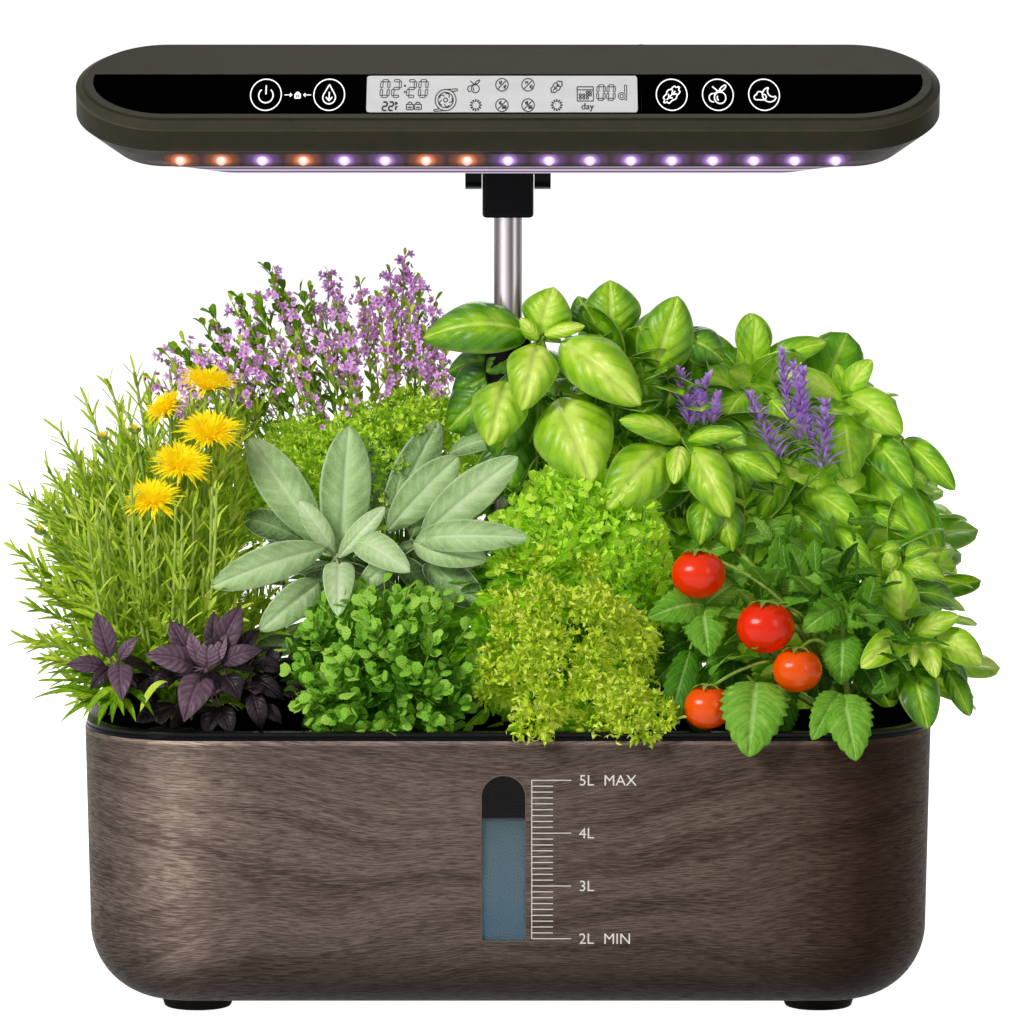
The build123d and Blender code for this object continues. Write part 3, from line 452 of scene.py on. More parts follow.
def mast_steel():
    """Bright drawn tube with painted reflections in lengthwise bands, dark and light by turns, and fine scratches
    along it.
    """
    finish = Finish("mast_steel", roughness=0.3, Metallic=1.0)
    aside = finish.over(finish.split(finish.place())[0], 6.4 * MM)
    lines = finish.grain(finish.place((2500, 2500, 60)), 1, 4, 0.7)
    aside = finish.line(finish.less(lines, 0.5), 0.05, aside)
    # painted reflections: how light the tube is at each place across it
    painted_reflection_levels = [(0.02, 152), (0.1, 116), (0.18, 140), (0.27, 222), (0.33, 252), (0.4, 224), (0.5, 168), (0.6, 104),
              (0.66, 132), (0.74, 240), (0.81, 146), (0.88, 106), (0.97, 156)]
    stops = []
    for place, level in painted_reflection_levels:
        light = int(0.93 * level)
        stops.append((place, tint(light, light - 8, light - 5)))
    finish.coat(Base_Color=finish.ramp(finish.line(aside, 0.5, 0.5), stops))
    finish.coat(Roughness=finish.ease(lines, 0.3, 0.7, 0.26, 0.38))
    return finish.bump(lines, 0.01 * MM, 0.4).material


def clear_window():
    """Clear acrylic with a slightly hazed surface, darkened above the water line with painted shade of the tank's
    inside.
    """
    finish = Finish(
        "clear_window", tint(236, 242, 246), 0.05, Transmission_Weight=1.0, IOR=1.2, Specular_IOR_Level=0.03
    )
    haze = finish.grain(finish.place(), 250, 2)
    height = finish.split(finish.place())[2]
    # painted shade: above the water the pane is darkened
    painted_shade_above_water = finish.ease(height, water_level, water_level + 0.3 * MM)
    finish.coat(Base_Color=finish.blend(painted_shade_above_water, tint(236, 242, 246), tint(70, 66, 66)))
    finish.coat(Roughness=finish.ease(haze, 0.3, 0.7, 0.05, 0.11))
    return finish.material


def water_finish():
    """Blue-grey still water, dense enough to look filled."""
    finish = Finish("water", tint(92, 122, 137), 0.3, IOR=1.33, Specular_IOR_Level=0.1)
    depth = finish.split(finish.place())[2]
    cloud = finish.grain(finish.place(), 60, 2)
    colour = finish.ramp(finish.ease(depth, 0.03, 0.1), [(0.0, tint(72, 97, 110)), (1.0, tint(88, 104, 110))])
    finish.coat(Base_Color=finish.blend(finish.ease(cloud, 0.3, 0.7, 0.0, 0.25), colour, tint(98, 109, 113)))
    return finish.bump(finish.grain(finish.place(), 30, 2), 0.3 * MM, 0.3).material


def deck_finish():
    """Black plastic of the deck: its lip shines, and the plate between the pods is dull."""
    finish = Finish("deck_black", tint(6, 7, 9), 0.3)
    height = finish.split(finish.place())[2]
    lip = finish.ease(height, deck_top + 0.6 * MM, deck_top + 2.4 * MM)
    cloud = finish.grain(finish.place(), 60, 3)
    finish.coat(Base_Color=finish.blend(cloud, tint(4, 5, 5), tint(10, 11, 12)))
    finish.coat(Specular_IOR_Level=finish.times(lip, 0.12), Roughness=finish.ease(lip, 0.0, 1.0, 0.8, 0.25))
    return finish.bump(finish.grain(finish.place(), 900, 2), 0.01 * MM).material


def foam():
    """Open-cell filter foam."""
    finish = Finish("filter_foam", roughness=0.95)
    pores = finish.cells(finish.place(), 700)
    finish.coat(Base_Color=finish.ramp(pores, [(0.1, tint(20, 22, 24)), (0.6, tint(66, 70, 74))]))
    return finish.bump(pores, 0.5 * MM).material


def board():
    """Green circuit board with lighter tracks."""
    finish = Finish("circuit_board", roughness=0.4)
    tracks = finish.node("TexBrick", {"Vector": finish.place(), "Scale": 160.0, "Mortar Size": 0.03}).outputs[1]
    finish.coat(Base_Color=finish.ramp(tracks, [(0.0, tint(20, 82, 48)), (1.0, tint(54, 130, 84))]))
    return finish.material


def display():
    """Pale grey liquid-crystal panel with an even backlight."""
    finish = Finish("lcd", tint(206, 208, 210), 0.35)
    veil = finish.grain(finish.place(), 70, 2)
    colour = finish.ramp(veil, [(0.3, tint(206, 206, 206)), (0.7, tint(214, 214, 213))])
    low, high = [np.array(corner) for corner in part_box("lcd_display")]
    x, y, z = finish.split(finish.place(shift=tuple(-(low + high) / 2)))
    back = finish.line(z, sin(rest_tilt), finish.times(y, cos(rest_tilt)))
    half = (high - low) / 2
    # the lit field has rounded corners, looks flatter than it is by squash, and ends short at the right
    corner, squash, spare, edge = 1.8 * MM, 0.42, 0.9 * MM, 0.2 * MM
    deep = float(half[1] / cos(rest_tilt))
    over_x = finish.less(finish.sum("ABSOLUTE", finish.plus(x, spare)), float(half[0]) - spare - corner)
    over_y = finish.less(finish.times(finish.sum("ABSOLUTE", back), squash), deep * squash - corner)
    outside = finish.length(finish.most(over_x, 0.0), finish.most(over_y, 0.0))
    colour = finish.blend(finish.ease(outside, corner, corner + edge), colour, tint(2, 2, 2))
    finish.coat(Specular_IOR_Level=finish.ease(outside, corner, corner + edge, 0.2, 0.0))
    finish.coat(Base_Color=colour, Emission_Color=colour, Emission_Strength=0.22)
    return finish.material


def control_glass():
    """Black back-printed glass with the faintest cloud of touch marks."""
    finish = Finish("control_glass", tint(2, 2, 3), 0.35, Specular_IOR_Level=0.0)
    marks = finish.grain(finish.place(), 45, 3)
    finish.coat(Base_Color=finish.ramp(marks, [(0.35, tint(1, 1, 1)), (0.7, tint(3, 2, 3))]))
    finish.coat(Roughness=finish.ease(marks, 0.3, 0.7, 0.24, 0.36))
    return finish.material


def diffuser():
    """Milky cover of the grow lamps, glowing softly violet."""
    finish = Finish("diffuser", tint(225, 215, 235), 0.4)
    spots = finish.cells(finish.place(), 90)
    glow = finish.ramp(spots, [(0.1, (0.95, 0.62, 1.0, 1.0)), (0.7, (0.45, 0.24, 0.78, 1.0))])
    _, y, z = finish.split(finish.place(source="Normal"))
    down = finish.line(z, -cos(rest_tilt), finish.times(y, sin(rest_tilt)))
    below = finish.ease(down, 0.5, 0.9)
    rim = finish.ramp(beside_lamp(finish), [(0.0, tint(176, 148, 200)), (0.5, tint(72, 52, 96))])
    finish.coat(Base_Color=finish.blend(below, rim, tint(225, 215, 235)), Emission_Color=glow,
                Emission_Strength=finish.times(below, 0.55))
    return finish.material


def paint(node, finish):
    """Give one of the solids its finish."""
    skin = frame["nodes"][node].data
    skin.materials.clear()
    skin.materials.append(finish)


finishes = {
    "wood_print": wood_print(),
    "rubber": moulded("rubber", tint(22, 20, 17), 0.85, 0.4 * MM, 0.05 * MM, Specular_IOR_Level=0.12),
    "clear_window": clear_window(),
    "black_gloss": moulded("black_gloss", tint(6, 7, 11), 0.25, 1.2 * MM, 0.01 * MM, Specular_IOR_Level=0.06),
    "pin_steel": brushed_steel("pin_steel", tint(178, 178, 180), 0.3, (60, 2500, 2500)),
    "pump_plastic": moulded("pump_plastic", tint(34, 36, 38), 0.45),
    "filter_foam": foam(),
    "rotor": moulded("rotor", tint(210, 208, 200), 0.4),
    "cable": moulded("cable", tint(22, 22, 23), 0.5, 0.3 * MM, 0.02 * MM),
    "mast_steel": mast_steel(),
    "nylon": moulded("nylon", tint(215, 212, 204), 0.5),
    "lamp_shell": lamp_shell(),
    "control_glass": control_glass(),
    "lcd": display(),
    "circuit_board": board(),
    "led": front_lamps(),
    "diffuser": diffuser(),
    "smoked_strip": smoked_strip(),
    "basket_plastic": moulded("basket_plastic", tint(18, 19, 19), 0.7, Specular_IOR_Level=0.0),
}
for part in frame["record"]["subparts"]:
    if part["material_slot"] in finishes:
        paint(part["node"], finishes[part["material_slot"]])
paint("deck", deck_finish())


# ------------------------------------------------------------------ surfaces worked out as arrays
golden_turn = 2.39996  # radians between leaves or petals that follow one another round a stem


def unit(vectors):
    """The same directions with a length of 1."""
    return vectors / np.linalg.norm(vectors, axis=-1, keepdims=True)


class Piece:
    """The surfaces of one piece, gathered as grids of points, each with a UV map and a tone."""

    def __init__(self):
        self.points, self.faces, self.maps, self.tones, self.count = [], [], [], [], 0

    def add(self, grids, tone=0.5, closed=False):
        """grids holds (number, rows, columns) points: each grid is one surface, its rows running along
        it from base to tip. closed joins its last column to its first."""
        grids = np.asarray(grids, float)
        number, rows, columns = grids.shape[:3]
        index = self.count + np.arange(number * rows * columns).reshape(number, rows, columns)
        left = index if closed else index[:, :, :-1]
        right = np.roll(index, -1, axis=2) if closed else index[:, :, 1:]
        quads = [left[:, :-1], right[:, :-1], right[:, 1:], left[:, 1:]]
        self.faces.append(np.stack(quads, axis=-1).reshape(-1, 4))
        self.points.append(grids.reshape(-1, 3))
        u, v = np.meshgrid(np.linspace(0, 1, columns), np.linspace(0, 1, rows))
        self.maps.append(np.tile(np.stack([u, v], axis=-1).reshape(-1, 2), (number, 1)))
        tone = np.asarray(tone, float)
        tone = tone.reshape(tone.shape + (1,) * (3 - tone.ndim)) if tone.ndim else tone
        self.tones.append(np.broadcast_to(tone, (number, rows, columns)).ravel())
        self.count += number * rows * columns
        return self

    def make(self, name, body, slot, finish, stands_for=(), thickness=0.0):
        """Write the surfaces into one mesh that rides on body; thickness gives thin leaves their body."""
        points, faces = np.concatenate(self.points), np.concatenate(self.faces)
        mesh = bpy.data.meshes.new(name)
        mesh.vertices.add(len(points))
        mesh.vertices.foreach_set("co", points.ravel())
        mesh.loops.add(faces.size)
        mesh.loops.foreach_set("vertex_index", faces.ravel())
        mesh.polygons.add(len(faces))
        mesh.polygons.foreach_set("loop_start", np.arange(0, faces.size, 4))
        mesh.update(calc_edges=True)
        uv_map = mesh.uv_layers.new(name="leaf")
        uv_map.data.foreach_set("uv", np.concatenate(self.maps)[faces.ravel()].ravel())
        tones = mesh.attributes.new("tone", "FLOAT", "POINT")
        tones.data.foreach_set("value", np.concatenate(self.tones))
        mesh.shade_smooth()
        mesh.materials.append(finish)
        made = bpy.data.objects.new(name, mesh)
        bpy.context.scene.collection.objects.link(made)
        if thickness:
            shell = made.modifiers.new("body", "SOLIDIFY")
            shell.thickness = thickness
            shell.offset = -1
        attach(made, body)
        if stands_for:
            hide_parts(*stands_for)
        return made


def spread_of(broad, tight):
    """Outline of a leaf: t**broad * (1 - t)**tight, scaled so that its widest place is 1 wide."""
    peak = broad / (broad + tight)
    highest = peak**broad * (1 - peak) ** tight

    def outline(t):
        inside = np.clip(t, 1e-4, 1 - 1e-4)
        return np.maximum(inside**broad * (1 - inside) ** tight / highest, 0.03)

    return outline


def square_to(along, hint=(0.31, 0.87, 0.23)):
    """Two directions square to along and to each other; hint only has to point another way."""
    first = unit(np.cross(along, hint))
    return first, np.cross(along, first)


def toothed(outline, teeth, depth):
    """The same outline with a saw-edge of rounded teeth that point to the tip."""

    def edge(t):
        return outline(t) * (1 - depth * (1 - (t * teeth) % 1.0))

    return edge


def blades(base, tip, width, lift, face, outline, rows=6, columns=2, fold=0.25, cup=0.0, relief=None):
    """Leaf surfaces, all worked out at once. The midrib is a parabola from base to tip, raised by lift
    at its middle. Across it the leaf is a shallow V of angle fold, outline(t) * width wide, drawn down
    at its edges by cup; relief(t, s) adds height in shares of the width. The upper side looks to face."""
    base, tip, face = [np.atleast_2d(v) for v in (base, tip, face)]
    width = np.broadcast_to(width, len(base)).astype(float)
    t = np.linspace(0, 1, rows + 1)
    s = np.linspace(-1, 1, columns + 1)
    control = (base + tip) / 2 + 2 * np.broadcast_to(lift, base.shape)
    way = t[None, :, None]
    midrib = (1 - way) ** 2 * base[:, None] + 2 * way * (1 - way) * control[:, None] + way**2 * tip[:, None]
    along = unit((1 - way) * (control - base)[:, None] + way * (tip - control)[:, None] + 1e-9)
    side = unit(np.cross(along, np.broadcast_to(face[:, None], along.shape)) + 1e-9)
    normal = np.cross(side, along)
    half = 0.5 * width[:, None, None] * outline(t)[None, :, None] * np.ones_like(s)
    height = np.abs(s) * half * sin(fold) - cup * s**2 * half
    if relief is not None:
        height = height + relief(t[:, None], s[None, :]) * width[:, None, None]
    out = s * half * cos(fold)
    return midrib[:, :, None] + side[:, :, None] * out[..., None] + normal[:, :, None] * height[..., None]


def bends(base, control, tip, steps=8):
    """Parabolas from base to tip that leave base towards control, as (number, steps + 1, 3) points."""
    t = np.linspace(0, 1, steps + 1)[None, :, None]
    return (1 - t) ** 2 * base[:, None] + 2 * t * (1 - t) * control[:, None] + t**2 * tip[:, None]


def tubes(paths, radius, taper=0.6, sides=5):
    """Stems: rings of points across each path, thinning evenly to taper times the radius at its end."""
    along = unit(np.gradient(paths, axis=1) + 1e-9)
    first, second = square_to(along)
    angle = np.linspace(0, 2 * pi, sides, endpoint=False)
    ring = first[:, :, None] * np.cos(angle)[:, None] + second[:, :, None] * np.sin(angle)[:, None]
    radius = np.broadcast_to(np.atleast_1d(radius)[:, None], paths.shape[:2])
    radius = radius * np.linspace(1, taper, paths.shape[1])
    return paths[:, :, None] + radius[:, :, None, None] * ring


def along_stems(paths, places, turns, tilt):
    """Leaf places on stems: for each stem, points at the shares places of its length, and directions
    that stand off the stem by the angle tilt at the azimuths turns (all of shape (stems, leaves))."""
    steps = paths.shape[1] - 1
    at = np.clip(places * steps, 0, steps - 1e-6)
    low = at.astype(int)
    stem = np.arange(len(paths))[:, None]
    part = (at - low)[..., None]
    points = paths[stem, low] * (1 - part) + paths[stem, low + 1] * part
    along = unit(paths[stem, low + 1] - paths[stem, low] + 1e-9)
    first, second = square_to(along)
    outward = first * np.cos(turns)[..., None] + second * np.sin(turns)[..., None]
    direction = along * np.cos(tilt)[..., None] + outward * np.sin(tilt)[..., None]
    return points.reshape(-1, 3), unit(direction).reshape(-1, 3), along.reshape(-1, 3)


def frills(base, direction, face, size, ruffle=0.25, notch=0.4, spread=1.2, lobes=3, phase=None):
    """Curly leaflets: fans of angle spread each side, whose rim is cut in by notch between lobes and
    waves up and down by ruffle, all in shares of the leaflet's size."""
    columns = 2 * lobes
    angle = np.linspace(-spread, spread, columns + 1)
    radius = np.array([0.08, 0.55, 1.0])
    rim = 1 - notch * 0.5 * (1 + np.cos(2 * pi * lobes * (angle + spread) / (2 * spread)))
    side = unit(np.cross(direction, face))
    normal = np.cross(side, direction)
    reach = radius[:, None] * np.where(radius[:, None] > 0.9, rim[None], 1.0)
    phase = np.zeros(len(base)) if phase is None else phase
    wave = ruffle * radius[:, None] ** 2 * np.sin(3.1 * angle[None] + phase[:, None, None])
    size = np.broadcast_to(size, len(base))[:, None, None, None]
    flat = (
        direction[:, None, None] * (reach * np.cos(angle))[..., None]
        + side[:, None, None] * (reach * np.sin(angle))[..., None]
    )
    return base[:, None, None] + size * (flat + normal[:, None, None] * wave[..., None])


def scatter(chance, number, centre, radii, low=0.5, high=1.0, floor=-0.35, power=2.0):
    """Points in the shell between the shares low and high of a rounded dome, and their outward directions."""
    found = unit(chance.normal(size=(6 * number, 3)))
    found = found[found[:, 2] > floor][:number]
    norm = (np.abs(found) ** power).sum(axis=1, keepdims=True) ** (1 / power)
    share = low + (high - low) * chance.random((len(found), 1)) ** 0.5
    return centre + found / norm * share * radii, unit(found / norm / radii)


# ------------------------------------------------------------------ plant finishes
def leaf_finish(name, shades, vein, rough=0.42, count=7, slope=1.7, show=0.45, margin=0.0, felt=0.0, gloss=0.15,
                glow=0.1, pillow_shade=0.08, hollow=0.0, vein_width=0.12):
    """Leaf tissue: the tone picks a shade, clouded a little; a pale midrib runs up the middle and side
    veins curve from it to the edge, with painted light and shade that make the tissue lighter between them
    and darker beside them; margin lightens the rim, hollow is painted shade that darkens the tissue toward
    the rim and the base and lightens its middle, and felt roughens the surface with down. glow stands for
    the light that comes through the leaf."""
    finish = Finish(name, roughness=rough, Specular_IOR_Level=gloss)
    u, v, _ = finish.split(finish.place(source="UV"))
    tone = finish.tone()
    aside = finish.times(finish.sum("ABSOLUTE", finish.less(u, 0.5)), 2.0)
    bowed = finish.times(finish.sum("POWER", aside, 1.3), slope)
    phase = finish.less(finish.times(v, float(count)), bowed)
    near = finish.sum("ABSOLUTE", finish.less(finish.sum("FRACT", phase), 0.5))
    side_vein = finish.ease(near, 0.0, vein_width, show, 0.0)
    side_vein = finish.times(side_vein, finish.ease(aside, 0.3, 1.0, 1.0, 0.25))
    rib = finish.most(side_vein, finish.ease(aside, 0.03, 0.11, 0.9, 0.0))
    cloud = finish.grain(finish.place(), 130, 3)
    tone = finish.plus(tone, finish.sway(cloud, 0.5))
    # painted light and shade: the tissue lighter between the side veins and darker beside them
    swell = finish.ease(near, 0.05, 0.5, -pillow_shade, pillow_shade)
    tone = finish.plus(tone, finish.times(swell, finish.ease(aside, 0.0, 0.3)))
    # painted shade toward the rim and the base, and a lighter middle
    if hollow:
        tone = finish.plus(tone, finish.ease(aside, 0.1, 0.95, 0.6 * hollow, -hollow))
        tone = finish.plus(tone, finish.ease(v, 0.0, 0.3, -0.6 * hollow, 0.0))
    places = (0.04, 0.35, 0.68, 1.0)
    colour = finish.ramp(tone, [(place, tint(*shade)) for place, shade in zip(places, shades)])
    vein = tint(*vein)
    veiled = finish.times(rib, finish.ease(tone, 0.0, 0.7, 0.12, 0.75))
    colour = finish.blend(veiled, colour, vein)
    if margin:
        colour = finish.blend(finish.ease(aside, 0.86, 0.98, 0.0, margin), colour, vein)
    height = finish.less(finish.ease(near, 0.0, 0.4), finish.ease(aside, 0.0, 0.15, 0.8, 0.0))
    depth = 0.25 * MM
    if felt:
        down = finish.grain(finish.place(), 1500, 3, 0.65)
        pebble = finish.cells(finish.place(), 620)
        colour = finish.blend(finish.ease(down, 0.35, 0.7, 0.0, felt), colour, tint(218, 234, 198))
        height = finish.plus(finish.times(height, 0.4), finish.plus(down, pebble))
    finish.coat(Base_Color=colour, Emission_Color=colour, Emission_Strength=glow)
    return finish.bump(height, depth, 0.5).material


def stem_finish(name, low, high):
    """Stems: ribbed lengthwise and clouded from one green to another."""
    finish = Finish(name, roughness=0.55)
    cloud = finish.grain(finish.place((1, 1, 0.3)), 300, 3)
    finish.coat(Base_Color=finish.ramp(cloud, [(0.3, low), (0.7, high)]))
    return finish.bump(finish.grain(finish.place((1, 1, 0.1)), 1800, 2), 0.1 * MM).material


def petal_finish(name, base_shade, tip_shade, rough=0.6, glow=0.14):
    """Petals: one shade at the base, another at the tip, with fine lengthwise streaks; their glow is painted light."""
    finish = Finish(name, roughness=rough, Specular_IOR_Level=0.1)
    u, v, _ = finish.split(finish.place(source="UV"))
    tone = finish.tone()
    streak = finish.grain(finish.join(finish.times(u, 9.0), v, tone), 1, 2)
    share = finish.plus(finish.ease(v, 0.0, 0.8, 0.0, 0.7), finish.times(tone, 0.5))
    share = finish.plus(share, finish.sway(streak, 0.6))
    colour = finish.ramp(share, [(0.1, base_shade), (0.9, tip_shade)])
    finish.coat(Base_Color=colour, Emission_Color=colour, Emission_Strength=glow)
    return finish.bump(streak, 0.05 * MM).material


def peat_finish():
    """Damp peat: dark brown crumbs with a few pale fibres."""
    finish = Finish("peat", roughness=0.95)
    crumbs = finish.cells(finish.place(), 900)
    fibres = finish.grain(finish.place((1, 1, 4)), 500, 3)
    colour = finish.ramp(crumbs, [(0.0, tint(28, 19, 13)), (0.7, tint(72, 52, 36))])
    finish.coat(Base_Color=finish.blend(finish.ease(fibres, 0.6, 0.75, 0.0, 0.6), colour, tint(132, 104, 72)))
    return finish.bump(crumbs, 0.6 * MM).material


def fruit_finish():
    """Ripe tomato skin: orange toward its foot and where less ripe, deep red elsewhere, with a waxy gloss."""
    finish = Finish("tomato_skin", roughness=0.2, Specular_IOR_Level=0.25)
    _, v, _ = finish.split(finish.place(source="UV"))
    tone = finish.tone()
    cloud = finish.grain(finish.place(), 60, 3)
    share = finish.plus(tone, finish.sway(cloud, 0.25))
    share = finish.plus(share, finish.ease(v, 0.75, 1.0, 0.0, 0.25))
    ripeness = [(0.0, tint(246, 30, 0)), (0.5, tint(255, 66, 0)), (1.0, tint(255, 128, 0))]
    finish.coat(Base_Color=finish.ramp(share, ripeness))
    # painted light: a faint red glow in the skin
    finish.coat(Emission_Color=rgb(1.0, 0.06, 0.0), Emission_Strength=0.05)
    return finish.bump(finish.grain(finish.place(), 700, 2), 0.03 * MM, 0.4).material


peat = peat_finish()
green_stem = stem_finish("green_stem", tint(104, 144, 34), tint(168, 200, 84))
herb_stem = stem_finish("herb_stem", tint(146, 178, 58), tint(198, 218, 112))
pale_stem = stem_finish("pale_stem", tint(150, 166, 120), tint(186, 196, 150))
brown_stem = stem_finish("brown_stem", tint(96, 88, 60), tint(142, 132, 92))
purple_stem = stem_finish("purple_stem", tint(62, 42, 52), tint(104, 74, 84))


# ------------------------------------------------------------------ pods
def pod_place(name):
    """The middle of a pod's net basket, at the level of its collar's top."""
    low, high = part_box("basket_" + name)
    return np.array([(low.x + high.x) / 2, (low.y + high.y) / 2, high.z])


def peat_plug(name):
    """A tapered plug with a crumbly top: a disc that rises to a low mound, waved by its azimuth."""
    place = pod_place(name)
    angle = np.linspace(0, 2 * pi, 28, endpoint=False)
    profile = [(0.02, -45.2), (6.0, -45.2), (9.7, -44.6), (10.6, -30), (11.6, -15), (12.5, -3), (11.8, -1.6),
               (8, -1.0), (4, -0.4), (0.02, 0.2)]  # radius and height in millimetres, from below
    radius, height = np.array(profile).T * MM
    wobble = 1 + 0.02 * np.sin(5 * angle[None] + 40 * height[:, None] / (9 * MM))
    grid = np.stack(
        [
            place[0] + radius[:, None] * wobble * np.cos(angle),
            place[1] + radius[:, None] * wobble * np.sin(angle),
            place[2] + height[:, None] + 0.3 * MM * np.sin(7 * angle[None] + 3000 * radius[:, None]),
        ],
        axis=-1,
    )
    plug = Piece().add(grid[None], closed=True)
    plug.make("plug_" + name, "pod_" + name, "foliage_" + name, peat, ["plant_" + name])


def roots_of(chance, name, number, spread=6.0):
    """Where a plant's stems leave its plug, scattered within spread of its middle."""
    place = pod_place(name)
    offset = unit(chance.normal(size=(number, 3))) * spread * MM * chance.random((number, 1)) ** 0.5
    offset[:, 2] = -1.5 * MM
    return place + offset


def grow(chance, name, tips, rise=0.55, spread=6.0, steps=10):
    """Stems from the plug to the given tips: they leave upwards and lean over to their tips."""
    root = roots_of(chance, name, len(tips), spread)
    knee = root * 0.55 + tips * 0.45
    knee[:, 2] = root[:, 2] + rise * (tips[:, 2] - root[:, 2]) + 6 * MM
    return bends(root, knee, tips, steps)


front_face = np.array([0.0, -0.86, 0.5])


def set_leaves(rows, outline, stride=(30, 16), fold=0.22, cup=0.12, relief=None):
    """Single leaves, listed one by one. Each row gives the tip's pixel, the base's pixel, the width in pixels,
    the depths of tip and base behind the mast in millimetres, the arch of the midrib in millimetres,
    the turn of the upper side about the midrib in degrees, and the tone."""
    named = np.array(rows, float).T
    tip_column, tip_row, base_column, base_row, width, tip_depth, base_depth, arch, turn, tone = named
    tip = spot(tip_column, tip_row, tip_depth * MM)
    base = spot(base_column, base_row, base_depth * MM)
    pixel = -eye[1] / focal  # how wide a pixel is at the mast
    along = unit(tip - base)
    face = np.broadcast_to(unit(front_face), along.shape)
    face = unit(face - along * (face * along).sum(axis=1, keepdims=True))
    turn = np.radians(turn)[:, None]
    face = face * np.cos(turn) + np.cross(along, face) * np.sin(turn)
    lift = face * arch[:, None] * MM
    return blades(base, tip, width * pixel, lift, face, outline, *stride, fold, cup, relief), tone, base


def quilted(count, slope, amount, groove=0.03):
    """Relief of a leaf whose tissue swells between sunken side veins, and whose midrib is a groove."""

    def relief(t, s):
        phase = t * count - np.abs(s) ** 1.3 * slope
        swell = np.abs(np.sin(pi * (phase - 0.5))) ** 0.7
        fade = np.clip(4 * t * (1 - t) * 1.6, 0, 1) * (1 - np.abs(s) ** 4) * np.clip(np.abs(s) * 4, 0, 1)
        return amount * swell * fade - groove * np.exp(-((s / 0.12) ** 2)) * np.clip(8 * t * (1 - t), 0, 1)

    return relief


def petioles(hubs, base, radius, chance, sag=4.0):
    """Leaf stalks from the nearest hub to each leaf's base, sagging a little on the way."""
    hubs = np.atleast_2d(hubs)
    nearest = hubs[np.argmin(np.linalg.norm(base[:, None] - hubs[None], axis=2), axis=1)]
    middle = (base + nearest) / 2
    middle[:, 2] -= sag * MM * chance.random(len(base))
    return tubes(bends(nearest, middle, base, 5), radius, 0.8)


def trunk(chance, name, hubs, radius):
    """Main stems from the plug to the hubs, with a slight bow."""
    hubs = np.atleast_2d(hubs)
    return tubes(grow(chance, name, hubs, 0.6, 3.0, 12), radius, 0.75, 8)


def dome_leaves(chance, number, centre, radii, length, width, outline, stride=(10, 4), fold=0.22, cup=0.1,
                relief=None, low=0.55, high=0.9, behind=None, floor=-0.3, droop=0.5):
    """Leaves all over a dome-shaped crown: each starts inside it, points out and down by droop, and
    turns its upper side outwards and up. behind keeps them at or beyond that depth."""
    base, out = scatter(chance, number, centre, radii, low, high, floor)
    if behind is not None:
        kept = base[:, 1] > behind
        base, out = base[kept], out[kept]
    size = length * (0.7 + 0.5 * chance.random(len(base)))
    swing = unit(out + 0.55 * chance.normal(size=out.shape))
    direction = unit(swing * np.array([1, 1, 0.55]) + np.array([0, 0, 0.35 - droop]))
    face = unit(out + np.array([0, 0, 0.8]) + 0.3 * chance.normal(size=out.shape))
    tip = base + direction * size[:, None]
    lift = unit(face) * (0.09 * size)[:, None]
    return blades(base, tip, width / length * size, lift, face, outline, *stride, fold, cup, relief), base

# ------------------------------------------------------------------ plants
basil_leaf = spread_of(0.5, 0.6)
sage_leaf = spread_of(0.8, 0.66)
needle_leaf = spread_of(0.35, 0.5)
round_leaf = spread_of(0.8, 0.45)
long_leaf = spread_of(0.6, 0.9)
basil_quilt = quilted(5.0, 1.9, 0.045, 0.05)
mild_quilt = quilted(6.0, 1.6, 0.03)
vein_light = (206, 230, 110)

basil_green = leaf_finish(
    "basil_leaf", [(40, 88, 2), (88, 146, 10), (156, 202, 26), (222, 240, 112)], vein_light, 0.36, 5,
    1.9, 0.5, 0.35, gloss=0.35, glow=0.12, pillow_shade=0.04, hollow=0.24, vein_width=0.06,
)
deep_basil = leaf_finish(
    "deep_basil_leaf", [(44, 94, 4), (94, 154, 18), (162, 210, 42), (216, 236, 112)], vein_light, 0.38,
    5, 1.9, 0.45, 0.3, gloss=0.25, glow=0.17, pillow_shade=0.04, hollow=0.2, vein_width=0.06,
)
sage_felt = leaf_finish(
    "sage_leaf", [(52, 86, 30), (121, 156, 86), (174, 204, 138), (216, 232, 188)],
    (208, 226, 180), 0.8, 10, 1.6, 0.3, 0.6, 0.25, gloss=0.05, pillow_shade=0.05, hollow=0.18,
)
purple_leaf = leaf_finish(
    "purple_leaf", [(20, 13, 18), (50, 35, 43), (102, 78, 92), (166, 140, 154)],
    (128, 98, 116), 0.42, 7, 1.4, 0.4, gloss=0.2, glow=0.02,
)
herb_leaf = leaf_finish(
    "herb_leaf", [(52, 96, 2), (122, 168, 14), (184, 216, 46), (226, 240, 104)],
    (206, 226, 116), 0.5, 6, 1.0, 0.15, gloss=0.1, glow=0.05,
)
oregano_green = leaf_finish(
    "oregano_leaf", [(26, 68, 2), (76, 138, 20), (128, 190, 48), (184, 224, 98)],
    (170, 214, 110), 0.5, 5, 1.0, 0.3, gloss=0.1, glow=0.06,
)
lettuce_green = leaf_finish(
    "lettuce_leaf", [(74, 112, 2), (148, 186, 16), (206, 228, 56), (238, 246, 130)],
    (222, 234, 120), 0.5, 4, 0.8, 0.2, gloss=0.1, glow=0.13,
)
cress_green = leaf_finish(
    "cress_leaf", [(62, 116, 2), (122, 186, 12), (178, 224, 44), (216, 240, 106)],
    (206, 232, 120), 0.5, 4, 0.8, 0.2, gloss=0.1, glow=0.17,
)
parsley_green = leaf_finish(
    "parsley_leaf", [(60, 106, 2), (126, 180, 14), (188, 224, 52), (226, 242, 118)],
    (206, 232, 120), 0.5, 4, 0.8, 0.2, gloss=0.1, glow=0.14,
)
tomato_green = leaf_finish(
    "tomato_leaf", [(28, 66, 4), (66, 122, 18), (108, 166, 42), (162, 204, 90)],
    (176, 212, 120), 0.5, 7, 1.8, 0.5, gloss=0.12,
)
